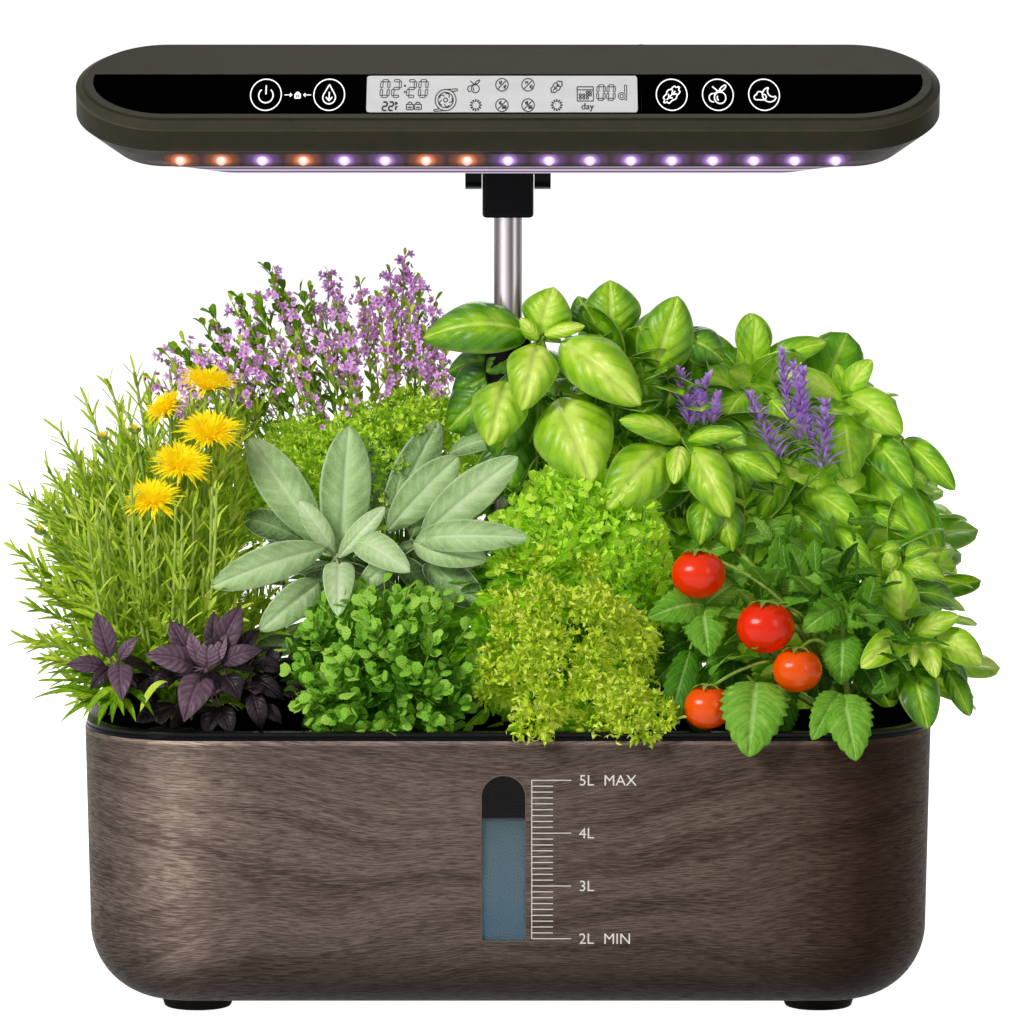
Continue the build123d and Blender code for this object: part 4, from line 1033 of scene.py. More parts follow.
yellow_petal = petal_finish("yellow_petal", tint(250, 196, 0), tint(255, 236, 30))
pink_petal = petal_finish("pink_petal", tint(150, 84, 150), tint(232, 178, 234))
violet_petal = petal_finish("violet_petal", tint(112, 60, 156), tint(196, 156, 226))
tomato_skin = fruit_finish()


def shoots(chance, paths, per, length, width, tilt, outline, stride=(4, 2), start=0.15, droop=0.0, taper=0.5,
           fold=0.3, cup=0.0, relief=None):
    """Leaves all along stems, set round them by the golden angle, standing off by tilt at the foot and
    closing up toward the tip, where they are taper times as long."""
    stems = len(paths)
    share = np.linspace(start, 1.0, per)[None] + 0.4 / per * chance.normal(size=(stems, per))
    share = np.clip(share, start, 1.0)
    turns = golden_turn * np.arange(per)[None] + 2 * pi * chance.random((stems, 1))
    turns = turns + 0.3 * chance.normal(size=share.shape)
    angles = tilt * (1.15 - 0.6 * share) + 0.12 * chance.normal(size=share.shape)
    base, direction, along = along_stems(paths, share, turns, angles)
    size = (length * (1 - (1 - taper) * share**2) * (0.8 + 0.4 * chance.random(share.shape))).ravel()
    tip = base + direction * size[:, None]
    tip[:, 2] -= droop * size
    face = unit(along + 0.35 * front_face + 0.2 * chance.normal(size=along.shape))
    lift = face * (0.06 * size)[:, None]
    grids = blades(base, tip, width * size / length, lift, face, outline, *stride, fold, cup, relief)
    return grids, share.ravel()


def build(name, **pieces):
    """Write a plant's pieces onto its pod, each given as suffix=(piece, finish) or with its thickness."""
    for suffix, (piece, finish, *thickness) in pieces.items():
        piece.make(f"{name}_{suffix}", f"pod_{name}", f"foliage_{name}", finish, [f"plant_{name}"], *thickness)
    peat_plug(name)


def pixels(rows):
    """Points given as (column, row, depth in millimetres)."""
    column, row, depth = np.array(rows, float).T
    return spot(column, row, depth * MM)


def hand_set(name, chance, rows, hubs, outline, finish, relief, extra, stems=green_stem,
             trunk_radius=2.0 * MM, stalk=0.9 * MM, cup=0.14, fold=0.2):
    """A plant whose leaves are listed one by one, with stalks from the nearest hub and stems up to the hubs.
    extra holds further (grids, tone) sets of leaves."""
    grids, tones, base = set_leaves(rows, outline, fold=fold, cup=cup, relief=relief)
    leaves = Piece().add(grids, tones)
    for more, tone in extra:
        leaves.add(more, tone)
    hubs = pixels(hubs)
    wood = Piece().add(trunk(chance, name, hubs, trunk_radius), closed=True)
    wood.add(petioles(hubs, base, stalk, chance), closed=True)
    build(name, leaves=(leaves, finish, 0.35 * MM), stems=(wood, stems))


# Leaves listed one by one: tip (column, row), base (column, row), width, depth of tip and of base in
# millimetres behind the mast, arch, turn of the upper side in degrees, tone.
# in these tables the tone gives each leaf its own shade and also the painted light and shade where it lies
sage_rows = [
    (249, 438, 324, 547, 47, 4, -2, 5, -12, 0.60),
    (349, 426, 340, 561, 53, 2, 0, 5, 5, 0.55),
    (376, 438, 384, 535, 30, 14, 10, 4, 0, 0.22),
    (439, 421, 385, 528, 42, 12, 8, 5, 10, 0.38),
    (459, 456, 387, 531, 42, -4, 0, 5, 12, 0.62),
    (518, 457, 420, 538, 44, -40, -16, 6, 16, 0.66),
    (531, 538, 415, 540, 34, -52, -20, 14, 20, 0.60),
    (488, 560, 413, 543, 35, -46, -20, 9, 24, 0.66),
    (410, 572, 356, 543, 35, -44, -10, 8, 10, 0.72),
    (485, 605, 430, 558, 42, -42, -18, 7, 30, 0.24),
    (338, 616, 340, 564, 33, -66, -12, 8, 0, 0.78),
    (259, 631, 319, 581, 36, -44, -14, 8, -20, 0.66),
    (211, 587, 326, 547, 40, -34, -10, 9, -16, 0.66),
    (244, 518, 303, 540, 32, 8, 4, 6, -10, 0.22),
    (299, 501, 335, 554, 24, -10, -6, 4, -8, 0.80),
    (385, 507, 338, 558, 22, -14, -8, 4, 12, 0.85),
    (425, 508, 411, 538, 18, 0, -2, 3, 0, 0.28),
    (358, 589, 393, 558, 24, -30, -14, 5, -20, 0.74),
    (505, 437, 449, 454, 24, -8, 0, 4, 0, 0.42),
    (402, 470, 392, 532, 26, 6, 4, 4, -6, 0.30),
    (300, 600, 335, 566, 26, -10, -6, 6, -10, 0.20),
    (430, 590, 396, 556, 26, -8, -6, 5, 18, 0.22),
]
sage_hubs = [(336, 556, -6), (387, 534, 4), (416, 542, -6), (447, 456, 12)]

large_basil_rows = [
    (474, 548, 488, 588, 30, 16, 10, 3, 0, 0.10),
    (500, 566, 470, 586, 26, 14, 8, 3, 0, 0.14),
    (423, 338, 530, 332, 58, -12, -8, 13, 0, 0.44),
    (554, 287, 541, 335, 52, -8, -10, 5, 0, 0.68),
    (585, 326, 544, 335, 16, -16, -12, 3, 10, 0.85),
    (520, 318, 538, 340, 18, -16, -12, 3, -10, 0.80),
    (610, 280, 613, 339, 60, 6, 2, 5, 0, 0.52),
    (578, 296, 590, 332, 30, 12, 8, 3, 0, 0.22),
    (678, 296, 654, 378, 58, -4, -2, 6, 6, 0.55),
    (724, 361, 682, 335, 40, 2, 0, 6, 10, 0.30),
    (712, 330, 676, 352, 30, 12, 8, 4, 10, 0.18),
    (641, 405, 561, 341, 60, -34, -10, 12, 8, 0.74),
    (522, 411, 538, 345, 53, -36, -12, 12, -6, 0.76),
    (489, 446, 507, 381, 58, -34, -14, 9, -6, 0.72),
    (593, 482, 558, 398, 82, -44, -16, 10, 4, 0.74),
    (606, 510, 667, 448, 62, -46, -22, 10, -10, 0.66),
    (619, 420, 682, 439, 30, -34, -24, 6, 0, 0.62),
    (674, 484, 681, 446, 24, -46, -26, 5, 0, 0.86),
    (730, 518, 691, 446, 48, -48, -24, 9, 8, 0.68),
    (743, 433, 687, 441, 20, -34, -24, 5, 6, 0.60),
    (778, 479, 722, 453, 32, -30, -22, 6, 10, 0.56),
    (452, 400, 500, 372, 48, 4, 0, 6, -10, 0.12),
    (462, 452, 505, 408, 44, 0, -2, 6, -10, 0.06),
    (448, 372, 500, 360, 36, 10, 4, 5, 0, 0.08),
    (545, 450, 540, 390, 50, -6, -4, 6, 0, 0.10),
    (640, 500, 640, 430, 54, -8, -6, 6, 0, 0.12),
    (610, 440, 612, 380, 50, -4, -2, 6, 0, 0.14),
    (705, 560, 700, 500, 44, -14, -10, 6, 0, 0.12),
    (655, 570, 672, 500, 44, -14, -10, 6, 0, 0.14),
    (508, 500, 520, 430, 48, -16, -12, 6, 0, 0.16), (486, 505, 505, 440, 40, -14, -12, 6, 0, 0.12),
    (500, 470, 520, 370, 56, -14, -12, 6, -4, 0.26), (486, 372, 528, 346, 40, -6, -6, 4, 0, 0.28),
    (448, 430, 500, 385, 56, 2, -2, 6, -8, 0.26),
    (650, 420, 640, 360, 52, -8, -6, 6, 0, 0.34), (600, 400, 600, 350, 46, -8, -6, 6, 0, 0.30),
    (560, 500, 575, 440, 50, -14, -10, 6, 0, 0.26), (640, 540, 655, 480, 48, -18, -14, 6, 0, 0.28),
    (745, 500, 730, 440, 44, -16, -12, 6, 6, 0.34), (700, 545, 712, 495, 40, -40, -26, 6, 4, 0.44),
    (733, 552, 722, 500, 38, -36, -26, 6, 8, 0.48),
]
large_basil_hubs = [(540, 338, -10), (558, 392, -8), (612, 340, 4), (683, 442, -22), (655, 372, 0), (520, 380, -6)]

purple_rows = [
    (96, 612, 110, 658, 24, -50, -52, 3, 0, 0.62),
    (138, 637, 119, 660, 14, -54, -52, 2, 0, 0.70),
    (66, 665, 107, 669, 20, -56, -52, 4, -6, 0.55),
    (122, 701, 120, 664, 26, -74, -54, 4, 0, 0.66),
    (90, 690, 112, 668, 16, -62, -54, 3, 0, 0.30),
    (170, 621, 193, 662, 26, -50, -54, 4, -4, 0.50),
    (241, 605, 218, 655, 28, -50, -54, 4, 6, 0.56),
    (262, 650, 222, 663, 22, -58, -56, 4, 6, 0.50),
    (145, 655, 194, 667, 30, -64, -56, 5, -4, 0.66),
    (184, 722, 204, 676, 36, -80, -60, 6, 0, 0.62),
    (208, 640, 208, 669, 24, -58, -58, 2, 0, 0.74),
    (214, 612, 214, 655, 20, -46, -52, 3, 0, 0.46),
    (260, 630, 238, 652, 16, -46, -50, 3, 0, 0.18),
    (190, 632, 200, 664, 16, -56, -58, 2, -10, 0.80),
    (226, 634, 214, 664, 14, -58, -58, 2, 10, 0.78),
    (240, 700, 224, 676, 26, -66, -58, 4, 0, 0.14),
    (262, 730, 252, 692, 22, -66, -60, 4, 0, 0.16),
    (232, 736, 220, 706, 22, -72, -62, 3, 0, 0.12),
    (284, 700, 250, 678, 22, -54, -50, 4, 0, 0.06),
    (288, 672, 250, 664, 18, -50, -48, 4, 0, 0.10),
    (206, 738, 214, 706, 20, -72, -62, 3, 0, 0.14),
    (282, 724, 262, 706, 16, -62, -58, 3, 0, 0.10),
    (150, 690, 176, 676, 18, -60, -56, 3, 0, 0.10),
]
purple_hubs = [(113, 668, -54), (206, 668, -58), (226, 664, -54), (250, 682, -54)]

back_basil_rows = [
    (750, 313, 755, 357, 39, 44, 44, 4, 0, 0.66),
    (826, 342, 758, 370, 30, 40, 42, 7, 6, 0.60),
    (742, 343, 747, 379, 20, 34, 40, 3, 0, 0.72),
    (688, 377, 740, 381, 34, 30, 40, 7, 0, 0.50),
    (781, 409, 745, 381, 28, 22, 38, 5, 8, 0.62),
    (703, 385, 762, 403, 18, 26, 38, 4, 0, 0.30),
    (790, 376, 840, 394, 14, 34, 38, 3, 0, 0.64),
    (836, 364, 844, 392, 20, 34, 38, 3, 0, 0.66),
    (868, 361, 846, 392, 22, 34, 38, 3, 0, 0.60),
    (898, 434, 846, 393, 34, 22, 38, 7, 8, 0.56),
    (810, 396, 844, 396, 22, 26, 38, 4, 0, 0.70),
    (846, 420, 836, 396, 16, 22, 34, 3, 0, 0.74),
    (846, 479, 853, 407, 38, 10, 34, 7, 0, 0.42),
    (913, 481, 877, 442, 30, 14, 30, 6, 6, 0.56),
    (955, 490, 903, 440, 30, 12, 28, 8, 10, 0.52),
    (929, 552, 871, 467, 46, 8, 26, 9, 8, 0.50),
    (942, 556, 914, 489, 26, 10, 24, 6, 6, 0.40),
    (862, 528, 805, 489, 38, -6, 14, 7, 6, 0.56),
    (909, 530, 864, 509, 24, 0, 14, 5, 6, 0.52),
    (871, 565, 831, 526, 24, -10, 8, 5, 6, 0.54),
    (833, 543, 794, 507, 22, -12, 6, 4, 6, 0.36),
    (750, 488, 781, 496, 16, -4, 8, 4, 0, 0.40),
    (888, 400, 860, 420, 28, 44, 38, 5, 0, 0.16),
    (802, 440, 800, 400, 34, 40, 36, 5, 0, 0.14),
    (860, 470, 850, 430, 40, 42, 36, 5, 0, 0.08),
    (915, 520, 880, 480, 36, 36, 30, 5, 0, 0.10),
    (720, 350, 742, 376, 30, 52, 46, 4, 0, 0.18),
    (792, 350, 770, 372, 26, 50, 44, 4, 0, 0.22),
    (800, 520, 810, 470, 36, 20, 20, 5, 0, 0.08),
    (850, 560, 850, 510, 40, 14, 18, 5, 0, 0.06),
]
# leaves in front of those, which close the crown toward the lamp's mast
back_basil_rows += [
    (756, 318, 752, 372, 34, 36, 38, 4, 0, 0.62), (728, 372, 750, 384, 30, 18, 26, 4, 0, 0.66),
    (690, 372, 738, 394, 36, 16, 24, 6, 0, 0.56), (776, 372, 842, 400, 30, 14, 26, 5, 0, 0.74),
    (872, 360, 846, 396, 28, 26, 32, 4, 0, 0.70), (902, 434, 848, 396, 42, 12, 28, 7, 6, 0.68),
    (852, 478, 842, 410, 44, 2, 22, 6, 0, 0.54), (912, 488, 870, 440, 38, 2, 20, 6, 4, 0.44),
    (780, 472, 722, 438, 36, -8, 6, 6, 6, 0.50), (800, 440, 770, 400, 34, 10, 18, 5, 0, 0.56),
    (760, 520, 790, 470, 30, -2, 8, 5, 0, 0.50), (720, 430, 745, 392, 34, 8, 16, 5, 0, 0.52),
]
back_basil_hubs = [(752, 372, 42), (844, 393, 38), (868, 440, 32), (812, 492, 16), (850, 505, 18), (905, 452, 30)]

bush_rows = [
    (895, 570, 904, 621, 38, -14, -12, 4, 0, 0.62),
    (944, 578, 902, 565, 24, -10, -8, 5, 6, 0.56),
    (886, 552, 893, 574, 22, -8, -6, 3, 0, 0.66),
    (861, 668, 909, 636, 36, -38, -16, 6, -4, 0.70),
    (959, 616, 913, 636, 26, -18, -14, 4, 6, 0.66),
    (982, 664, 937, 636, 36, -18, -12, 7, 10, 0.66),
    (936, 678, 924, 641, 24, -34, -16, 4, 0, 0.72),
    (914, 667, 913, 640, 14, -30, -18, 3, 0, 0.78),
    (955, 604, 913, 592, 28, 4, -2, 5, 0, 0.22),
    (928, 729, 911, 667, 44, -30, -14, 7, 4, 0.26),
    (970, 716, 948, 671, 24, -16, -8, 5, 6, 0.28),
    (880, 552, 902, 548, 16, 4, 2, 3, 0, 0.50),
    (930, 548, 905, 556, 18, 4, 2, 3, 0, 0.44),
    (870, 600, 898, 604, 30, -2, -4, 4, 0, 0.14),
    (886, 640, 904, 600, 34, 2, 0, 4, 0, 0.08),
    (940, 650, 920, 610, 34, 4, 2, 4, 0, 0.10),
    (890, 700, 905, 660, 34, -6, -4, 4, 0, 0.08),
    (965, 690, 935, 655, 26, 0, -2, 4, 0, 0.14),
]
# the whole bush stands further forward and is paler than the rows above say
tip_forward, base_forward, paler = 26, 24, 0.1
bush_rows = [
    (*row[:5], row[5] - tip_forward, row[6] - base_forward, *row[7:9], min(row[9] + paler, 1.0))
    for row in bush_rows
]
bush_hubs = [(903, 562, -14), (908, 628, -24), (925, 640, -24), (916, 664, -20), (940, 664, -16)]

chance = np.random.default_rng(11)
# the sage's inner leaves get low tones: painted shade inside the crown
sage_inner, _ = dome_leaves(chance, 90, pod_place("sage") + mm(-2, 6, 42), mm(46, 16, 54),
                            26 * MM, 11 * MM, sage_leaf, (8, 4), low=0.3, high=0.85, floor=-0.95)
hand_set("sage", chance, sage_rows, sage_hubs, sage_leaf, sage_felt, mild_quilt,
         [(sage_inner, 0.02 + 0.2 * chance.random(len(sage_inner)))], stems=pale_stem, cup=0.12)
inside, _ = dome_leaves(chance, 170, pod_place("large_basil") + mm(2, 8, 108), mm(54, 20, 56),
                        32 * MM, 21 * MM, basil_leaf, (9, 6), relief=mild_quilt, behind=-8 * MM, floor=-0.8)
deep, _ = dome_leaves(chance, 70, pod_place("large_basil") + mm(2, 12, 130), mm(42, 14, 30),
                      26 * MM, 18 * MM, basil_leaf, (9, 6), relief=mild_quilt, behind=0.0, floor=-0.9)
inside = np.concatenate([inside, deep])
# the basil's inner leaves get low tones: painted shade inside the crown
inside_tone = 0.16 + 0.36 * chance.random(len(inside))
hand_set("large_basil", chance, large_basil_rows, large_basil_hubs, basil_leaf, basil_green, basil_quilt,
         [(inside, inside_tone)],
         trunk_radius=2.4 * MM, stalk=1.3 * MM, cup=0.42, fold=0.06)


def bush_basil():
    """Small-leaved basil: shoots with listed leaves in front of a dome of smaller ones."""
    chance = np.random.default_rng(23)
    middle = pod_place("bush_basil") + mm(12, 2, 34)
    fill, _ = dome_leaves(chance, 120, middle, mm(34, 26, 46), 27 * MM, 21 * MM, basil_leaf, (9, 6),
                          relief=mild_quilt, behind=-8 * MM, floor=-0.7, cup=0.3)
    tone = 0.4 + 0.5 * chance.random(len(fill))
    hand_set("bush_basil", chance, bush_rows, bush_hubs, basil_leaf, basil_green, basil_quilt, [(fill, tone)],
             trunk_radius=1.5 * MM, stalk=0.8 * MM)


def back_basil():
    """Tall basil behind: big leaves listed one by one, and a loose dome of darker ones inside and at the back."""
    chance = np.random.default_rng(29)
    middle = pod_place("basil")
    upper, _ = dome_leaves(chance, 130, middle + mm(-24, 2, 104), mm(36, 28, 48), 32 * MM, 25 * MM,
                           basil_leaf, (9, 6), relief=mild_quilt, behind=20 * MM, floor=-0.7, cup=0.3)
    lower, _ = dome_leaves(chance, 210, middle + mm(-8, 2, 56), mm(44, 31, 60), 32 * MM, 25 * MM,
                           basil_leaf, (9, 6), relief=mild_quilt, behind=6 * MM, floor=-0.8, cup=0.3)
    fill = np.concatenate([upper, lower])
    tone = 0.3 + 0.55 * chance.random(len(fill))
    hand_set("basil", chance, back_basil_rows, back_basil_hubs, basil_leaf, deep_basil, basil_quilt,
             [(fill, tone)])


def purple_basil():
    """Two tufts of purple basil, with a few narrow green blades round their foot."""
    chance = np.random.default_rng(31)
    middle = pod_place("purple_basil") + mm(18, 6, 12)
    fill, _ = dome_leaves(chance, 60, middle, mm(34, 22, 24), 17 * MM, 9 * MM, sage_leaf, (9, 4),
                          relief=mild_quilt, behind=-56 * MM, floor=-0.1)
    tone = 0.05 + 0.3 * chance.random(len(fill))
    tips = pixels([
        (60, 723, -60), (46, 690, -56), (68, 699, -62), (43, 674, -48), (82, 720, -66), (112, 723, -72),
        (136, 722, -72), (30, 700, -44), (154, 716, -70), (52, 650, -44), (98, 726, -68), (168, 682, -66),
        (124, 716, -76), (74, 676, -58),
    ])
    foot = np.broadcast_to(pixels([(116, 694, -56)]), tips.shape) + 3 * MM * chance.normal(size=tips.shape)
    foot[-3] = pixels([(140, 712, -66)])
    face = unit(np.tile([0.0, -0.5, 0.9], (len(tips), 1)))
    grass = blades(foot, tips, 4.4 * MM, face * 5 * MM, face, long_leaf, 12, 4, 0.3, 0.05)
    blade = Piece()
    grass_tone = 0.12 + 0.3 * chance.random(len(tips))
    grass_tone[-3] = 0.85
    blade.add(grass, grass_tone)
    outline = spread_of(0.75, 0.95)
    grids, tones, base = set_leaves(purple_rows, outline, fold=0.24, cup=0.1, relief=basil_quilt)
    leaves = Piece().add(grids, tones)
    leaves.add(fill, tone)
    hubs = pixels(purple_hubs)
    wood = Piece().add(trunk(chance, "purple_basil", hubs, 1.5 * MM), closed=True)
    wood.add(petioles(hubs, base, 0.7 * MM, chance, 1.0), closed=True)
    build("purple_basil", leaves=(leaves, purple_leaf, 0.35 * MM), stems=(wood, purple_stem),
          blades=(blade, herb_leaf))


def tarragon(name, chance, tips, per, length, width, tone_low, **more):
    """Upright shoots set with narrow leaves from the plug up to the given tips, and the plant's more
    pieces."""
    paths = grow(chance, name, tips, 0.5, 9.0, 14)
    grids, share = shoots(chance, paths, per, length, width, 0.85, needle_leaf, (5, 2), 0.25, 0.05)
    # leaves lower on the shoots get a lower tone: painted shade at the foot of the plant
    leaves = Piece().add(grids, tone_low - 0.28 + 0.6 * share + 0.35 * chance.random(len(share)))
    wood = Piece().add(tubes(paths, 1.3 * MM, 0.4), closed=True)
    build(name, leaves=(leaves, herb_leaf), stems=(wood, herb_stem), **more)


def fan_of_tips(chance, number, columns, rows, depths, bow):
    """Tips spread over a patch of the view: columns and rows are its limits and bow rounds off its
    upper left corner."""
    column = columns[0] + (columns[1] - columns[0]) * chance.random(number)
    share = (column - columns[0]) / (columns[1] - columns[0])
    top = rows[0] + bow * (1 - share) ** 2
    row = top + (rows[1] - top) * chance.random(number) ** 1.6
    depth = depths[0] + (depths[1] - depths[0]) * chance.random(number)
    return spot(column, row, depth * MM)


def rosemary():
    """The tall bushy herb at the left end."""
    chance = np.random.default_rng(37)
    edge = pixels([
        (22, 492, 30), (18, 552, 20), (40, 528, 10), (60, 432, 40), (110, 384, 46), (135, 372, 44), (88, 404, 50),
        (34, 606, 4), (26, 640, 0), (48, 470, 36), (30, 575, 14), (70, 450, 20), (96, 462, 14), (120, 420, 20),
        (52, 500, 8), (66, 545, -4), (44, 590, -8), (150, 388, 40), (172, 384, 44), (200, 400, 44),
        (150, 405, 26), (175, 418, 20), (192, 408, 28), (222, 418, 24), (246, 426, 22), (128, 412, 28), (236, 398, 34),
        (258, 412, 26), (256, 450, 14), (268, 470, 10), (262, 560, 6), (266, 600, 0), (268, 632, -6), (262, 656, -12),
        (60, 680, -16), (80, 700, -24), (48, 660, -6),
    ])
    inner = fan_of_tips(chance, 60, (40, 262), (395, 610), (10, 60), 110)
    back = fan_of_tips(chance, 56, (60, 250), (400, 600), (60, 86), 90)
    tarragon("rosemary", chance, np.concatenate([edge, inner, back]), 44, 20 * MM, 2.7 * MM, 0.24)


def canes(chance, name, feet, tips, per=30):
    """Pale upright stems from the plug by way of feet to tips, with spaced whorls of needles."""
    root = np.broadcast_to(pod_place(name) + mm(0, 0, 1), tips.shape) + 4 * MM * chance.normal(size=tips.shape)
    root[:, 2] = pod_place(name)[2] - 2 * MM
    paths = bends(root, feet, tips, 14)
    grids, share = shoots(chance, paths, per, 17 * MM, 2.6 * MM, 0.95, needle_leaf, (5, 2), 0.2, 0.05)
    # needles lower on the canes get a lower tone: painted shade at the foot
    return paths, grids, 0.1 + 0.6 * share + 0.3 * chance.random(len(share))


flower_hint = (0.3, 0.2, 0.9)  # only has to differ from the way a flower faces


def flower_head(centre, axis, radius, chance, petals=380):
    """A shaggy composite flower: strap petals in rings that stand up more toward the middle."""
    along = unit(np.asarray(axis, float))
    first, second = square_to(along, flower_hint)
    ring = np.arange(petals) / petals
    angle = golden_turn * np.arange(petals) + 0.2 * chance.normal(size=petals)
    outward = first * np.cos(angle)[:, None] + second * np.sin(angle)[:, None]
    rise = np.radians(10 + 72 * (1 - ring) + 10 * chance.normal(size=petals))
    reach = radius * (0.5 + 0.55 * ring) * (0.88 + 0.24 * chance.random(petals))
    base = centre + outward * radius * 0.1
    tip = base + (outward * np.cos(rise)[:, None] + along * np.sin(rise)[:, None]) * reach[:, None]
    lift = along * (0.12 * reach)[:, None]
    face = unit(along - 0.2 * outward)
    grids = blades(base, tip, 0.085 * radius, lift, face, spread_of(0.3, 0.25), 4, 2, 0.3)
    return grids, 0.4 + 0.6 * chance.random(petals)


def marigold():
    """Yellow double flowers on upright stems, over narrow-leaved shoots like the herb's beside it."""
    chance = np.random.default_rng(41)
    heads = [
        (207, 382, -6, 14.0, (0.1, -0.05, 1.0)), (168, 403, 4, 10.0, (-0.6, -0.3, 0.8)),
        (209, 431, -16, 14.5, (0.1, -0.4, 1.0)), (180, 462, -22, 13.4, (0.15, -0.5, 0.9)),
        (153, 497, -28, 12.6, (-0.1, -0.5, 0.9)),
    ]
    buds = [(103, 437, 2, 4.2), (135, 429, 0, 3.6), (40, 530, -4, 3.4), (222, 376, 4, 3.6)]
    below_head = 8  # pixels from the middle of a flower, as it looks, down to its foot
    petals, cups, places = Piece(), Piece(), []
    for column, row, depth, size, axis in heads:
        centre = spot(column, row + below_head, depth * MM)
        grids, tone = flower_head(centre, axis, size * MM, chance)
        petals.add(grids, tone)
        places.append(centre - unit(np.array(axis)) * 2.5 * MM)
        cups.add(*calyx(centre, axis, 4.0 * MM))
    for column, row, depth, size in buds:
        centre = spot(column, row, depth * MM)
        grids, tone = flower_head(centre, (0.0, -0.2, 1.0), size * MM, chance, 40)
        petals.add(grids, tone)
        places.append(centre)
        cups.add(*calyx(centre, (0.0, -0.2, 1.0), 3.0 * MM))
    upright = grow(chance, "marigold", np.array(places), 0.6, 8.0, 14)
    stalks = Piece().add(tubes(upright, 1.1 * MM, 0.8, 6), closed=True)
    lower = pixels([
        (112, 590, -20), (148, 560, -22), (168, 540, -24), (200, 520, -18), (228, 560, -22), (236, 500, -6),
        (96, 560, -16), (130, 540, -22), (216, 590, -30), (180, 590, -34), (140, 600, -34), (110, 630, -36),
        (244, 470, 4), (226, 440, 2), (100, 520, -12), (84, 600, -22), (70, 630, -24), (60, 580, -14), (250, 600, -26),
        (60, 660, -30), (190, 500, -14), (160, 470, -8), (120, 480, -8), (216, 480, -12), (90, 660, -36),
        (40, 640, -20), (160, 620, -38), (208, 610, -38), (236, 610, -36), (256, 560, -20),
    ])
    filler = fan_of_tips(chance, 34, (70, 262), (420, 610), (-30, 20), 90)
    column = np.concatenate([np.linspace(92, 232, 20), np.linspace(240, 290, 12)]) + 3 * chance.normal(size=32)
    row = np.concatenate([480 + 110 * chance.random(20), 560 + 60 * chance.random(12)])
    depth = np.concatenate([-38 + 12 * chance.random(20), 10 * chance.random(12)]) * MM
    foot_column, foot_row = 0.9 * column + 17, 690  # the canes stand a little closer at the foot
    cane_feet = spot(foot_column, foot_row, depth + 6 * MM)
    paths, grids, tone = canes(chance, "marigold", cane_feet, spot(column, row, depth))
    needles, shafts = Piece(), Piece()
    needles.add(grids, tone)
    shafts.add(tubes(paths, 1.3 * MM, 0.5), closed=True)
    tarragon("marigold", chance, np.concatenate([lower, filler]), 34, 19 * MM, 2.8 * MM, 0.32,
             petals=(petals, yellow_petal), cups=(cups, green_stem), stalks=(stalks, green_stem),
             needles=(needles, herb_leaf), shafts=(shafts, herb_stem))


def calyx(centre, axis, radius, lobes=9):
    """Green cup under a flower: narrow lobes that bend up round its foot."""
    along = unit(np.asarray(axis, float))
    first, second = square_to(along, flower_hint)
    angle = np.linspace(0, 2 * pi, lobes, endpoint=False)
    outward = first * np.cos(angle)[:, None] + second * np.sin(angle)[:, None]
    base = centre - along * radius * 0.9 + 0 * outward
    tip = centre + outward * radius + along * radius * 0.1
    grids = blades(base, tip, 0.6 * radius, outward * 0.3 * radius, -outward + 0.01, sage_leaf, 4, 2, 0.2)
    return grids, 0.5 * np.ones(lobes)


def blossoms(chance, paths, per, size, start, petals=5):
    """Small open flowers round the tops of stems: each has petals in a shallow star."""
    stems = len(paths)
    start = start + 0.12 * (chance.random((stems, 1)) - 0.5)
    share = start + (1 - start) * chance.random((stems, per)) ** 0.8
    turns = 2 * pi * chance.random((stems, per))
    centre, direction, _ = along_stems(paths, share, turns, np.full((stems, per), 1.1))
    centre = centre + direction * size * (0.5 + 1.9 * chance.random(len(centre)))[:, None]
    first, second = square_to(direction)
    angle = np.linspace(0, 2 * pi, petals, endpoint=False)
    outward = first[:, None] * np.cos(angle)[:, None] + second[:, None] * np.sin(angle)[:, None]
    length = size * (0.55 + 0.65 * chance.random(len(centre)))
    base = np.repeat(centre, petals, axis=0)
    face = np.repeat(direction, petals, axis=0)
    tip = base + (outward.reshape(-1, 3) + 0.45 * face) * np.repeat(length, petals)[:, None]
    tone = np.repeat((0.6 * chance.random((stems, 1)) + 0.8 * chance.random((stems, per)) - 0.2).ravel(), petals)
    return blades(base, tip, 0.62 * size, 0 * tip, face, round_leaf, 3, 2, 0.1), tone


def curly_crown(chance, number, centre, radii, size, ruffle, notch, low=0.6, floor=-0.3, power=2.0):
    """Curly leaflets of random sizes all over a dome."""
    base, out = scatter(chance, number, centre, radii, low, 1.0, floor, power)
    direction = unit(out + 0.5 * chance.normal(size=out.shape) + np.array([0, 0, 0.25]))
    face = unit(chance.normal(size=out.shape) + 0.8 * out + np.array([0, -0.4, 0.6]))
    sizes = size * (0.65 + 0.7 * chance.random(len(base)))
    grids = frills(base, direction, face, sizes, ruffle, notch, phase=2 * pi * chance.random(len(base)))
    # leaflets deeper inside the dome get a lower tone: painted shade
    depth = np.linalg.norm((base - centre) / radii, axis=1)
    return grids, np.clip(0.05 + 0.75 * (depth - low) / (1 - low), 0, 1) * 0.8 + 0.2 * chance.random(len(base))


def puffs(chance, number, centre, radii, size, floor=-0.6, power=2.0, curl=4.2 * MM, each=(42, 46)):
    """A crown made of many small rounded tufts of curly leaflets and lacy strips, with painted shade between the
    tufts.
    """
    middle, _ = scatter(chance, number, centre, radii, 0.8, 1.0, floor, power)
    leaflets, strips = [], []
    for place in middle:
        tuft = size * (0.75 + 0.5 * chance.random()) * np.array([1, 1, 0.9])
        leaflets.append(curly_crown(chance, each[0], place, tuft, curl, 0.5, 0.5, 0.5, -0.8))
        strips.append(lace(chance, each[1], place, tuft, 1.4 * curl, 0.42 * curl))
    return leaflets + strips


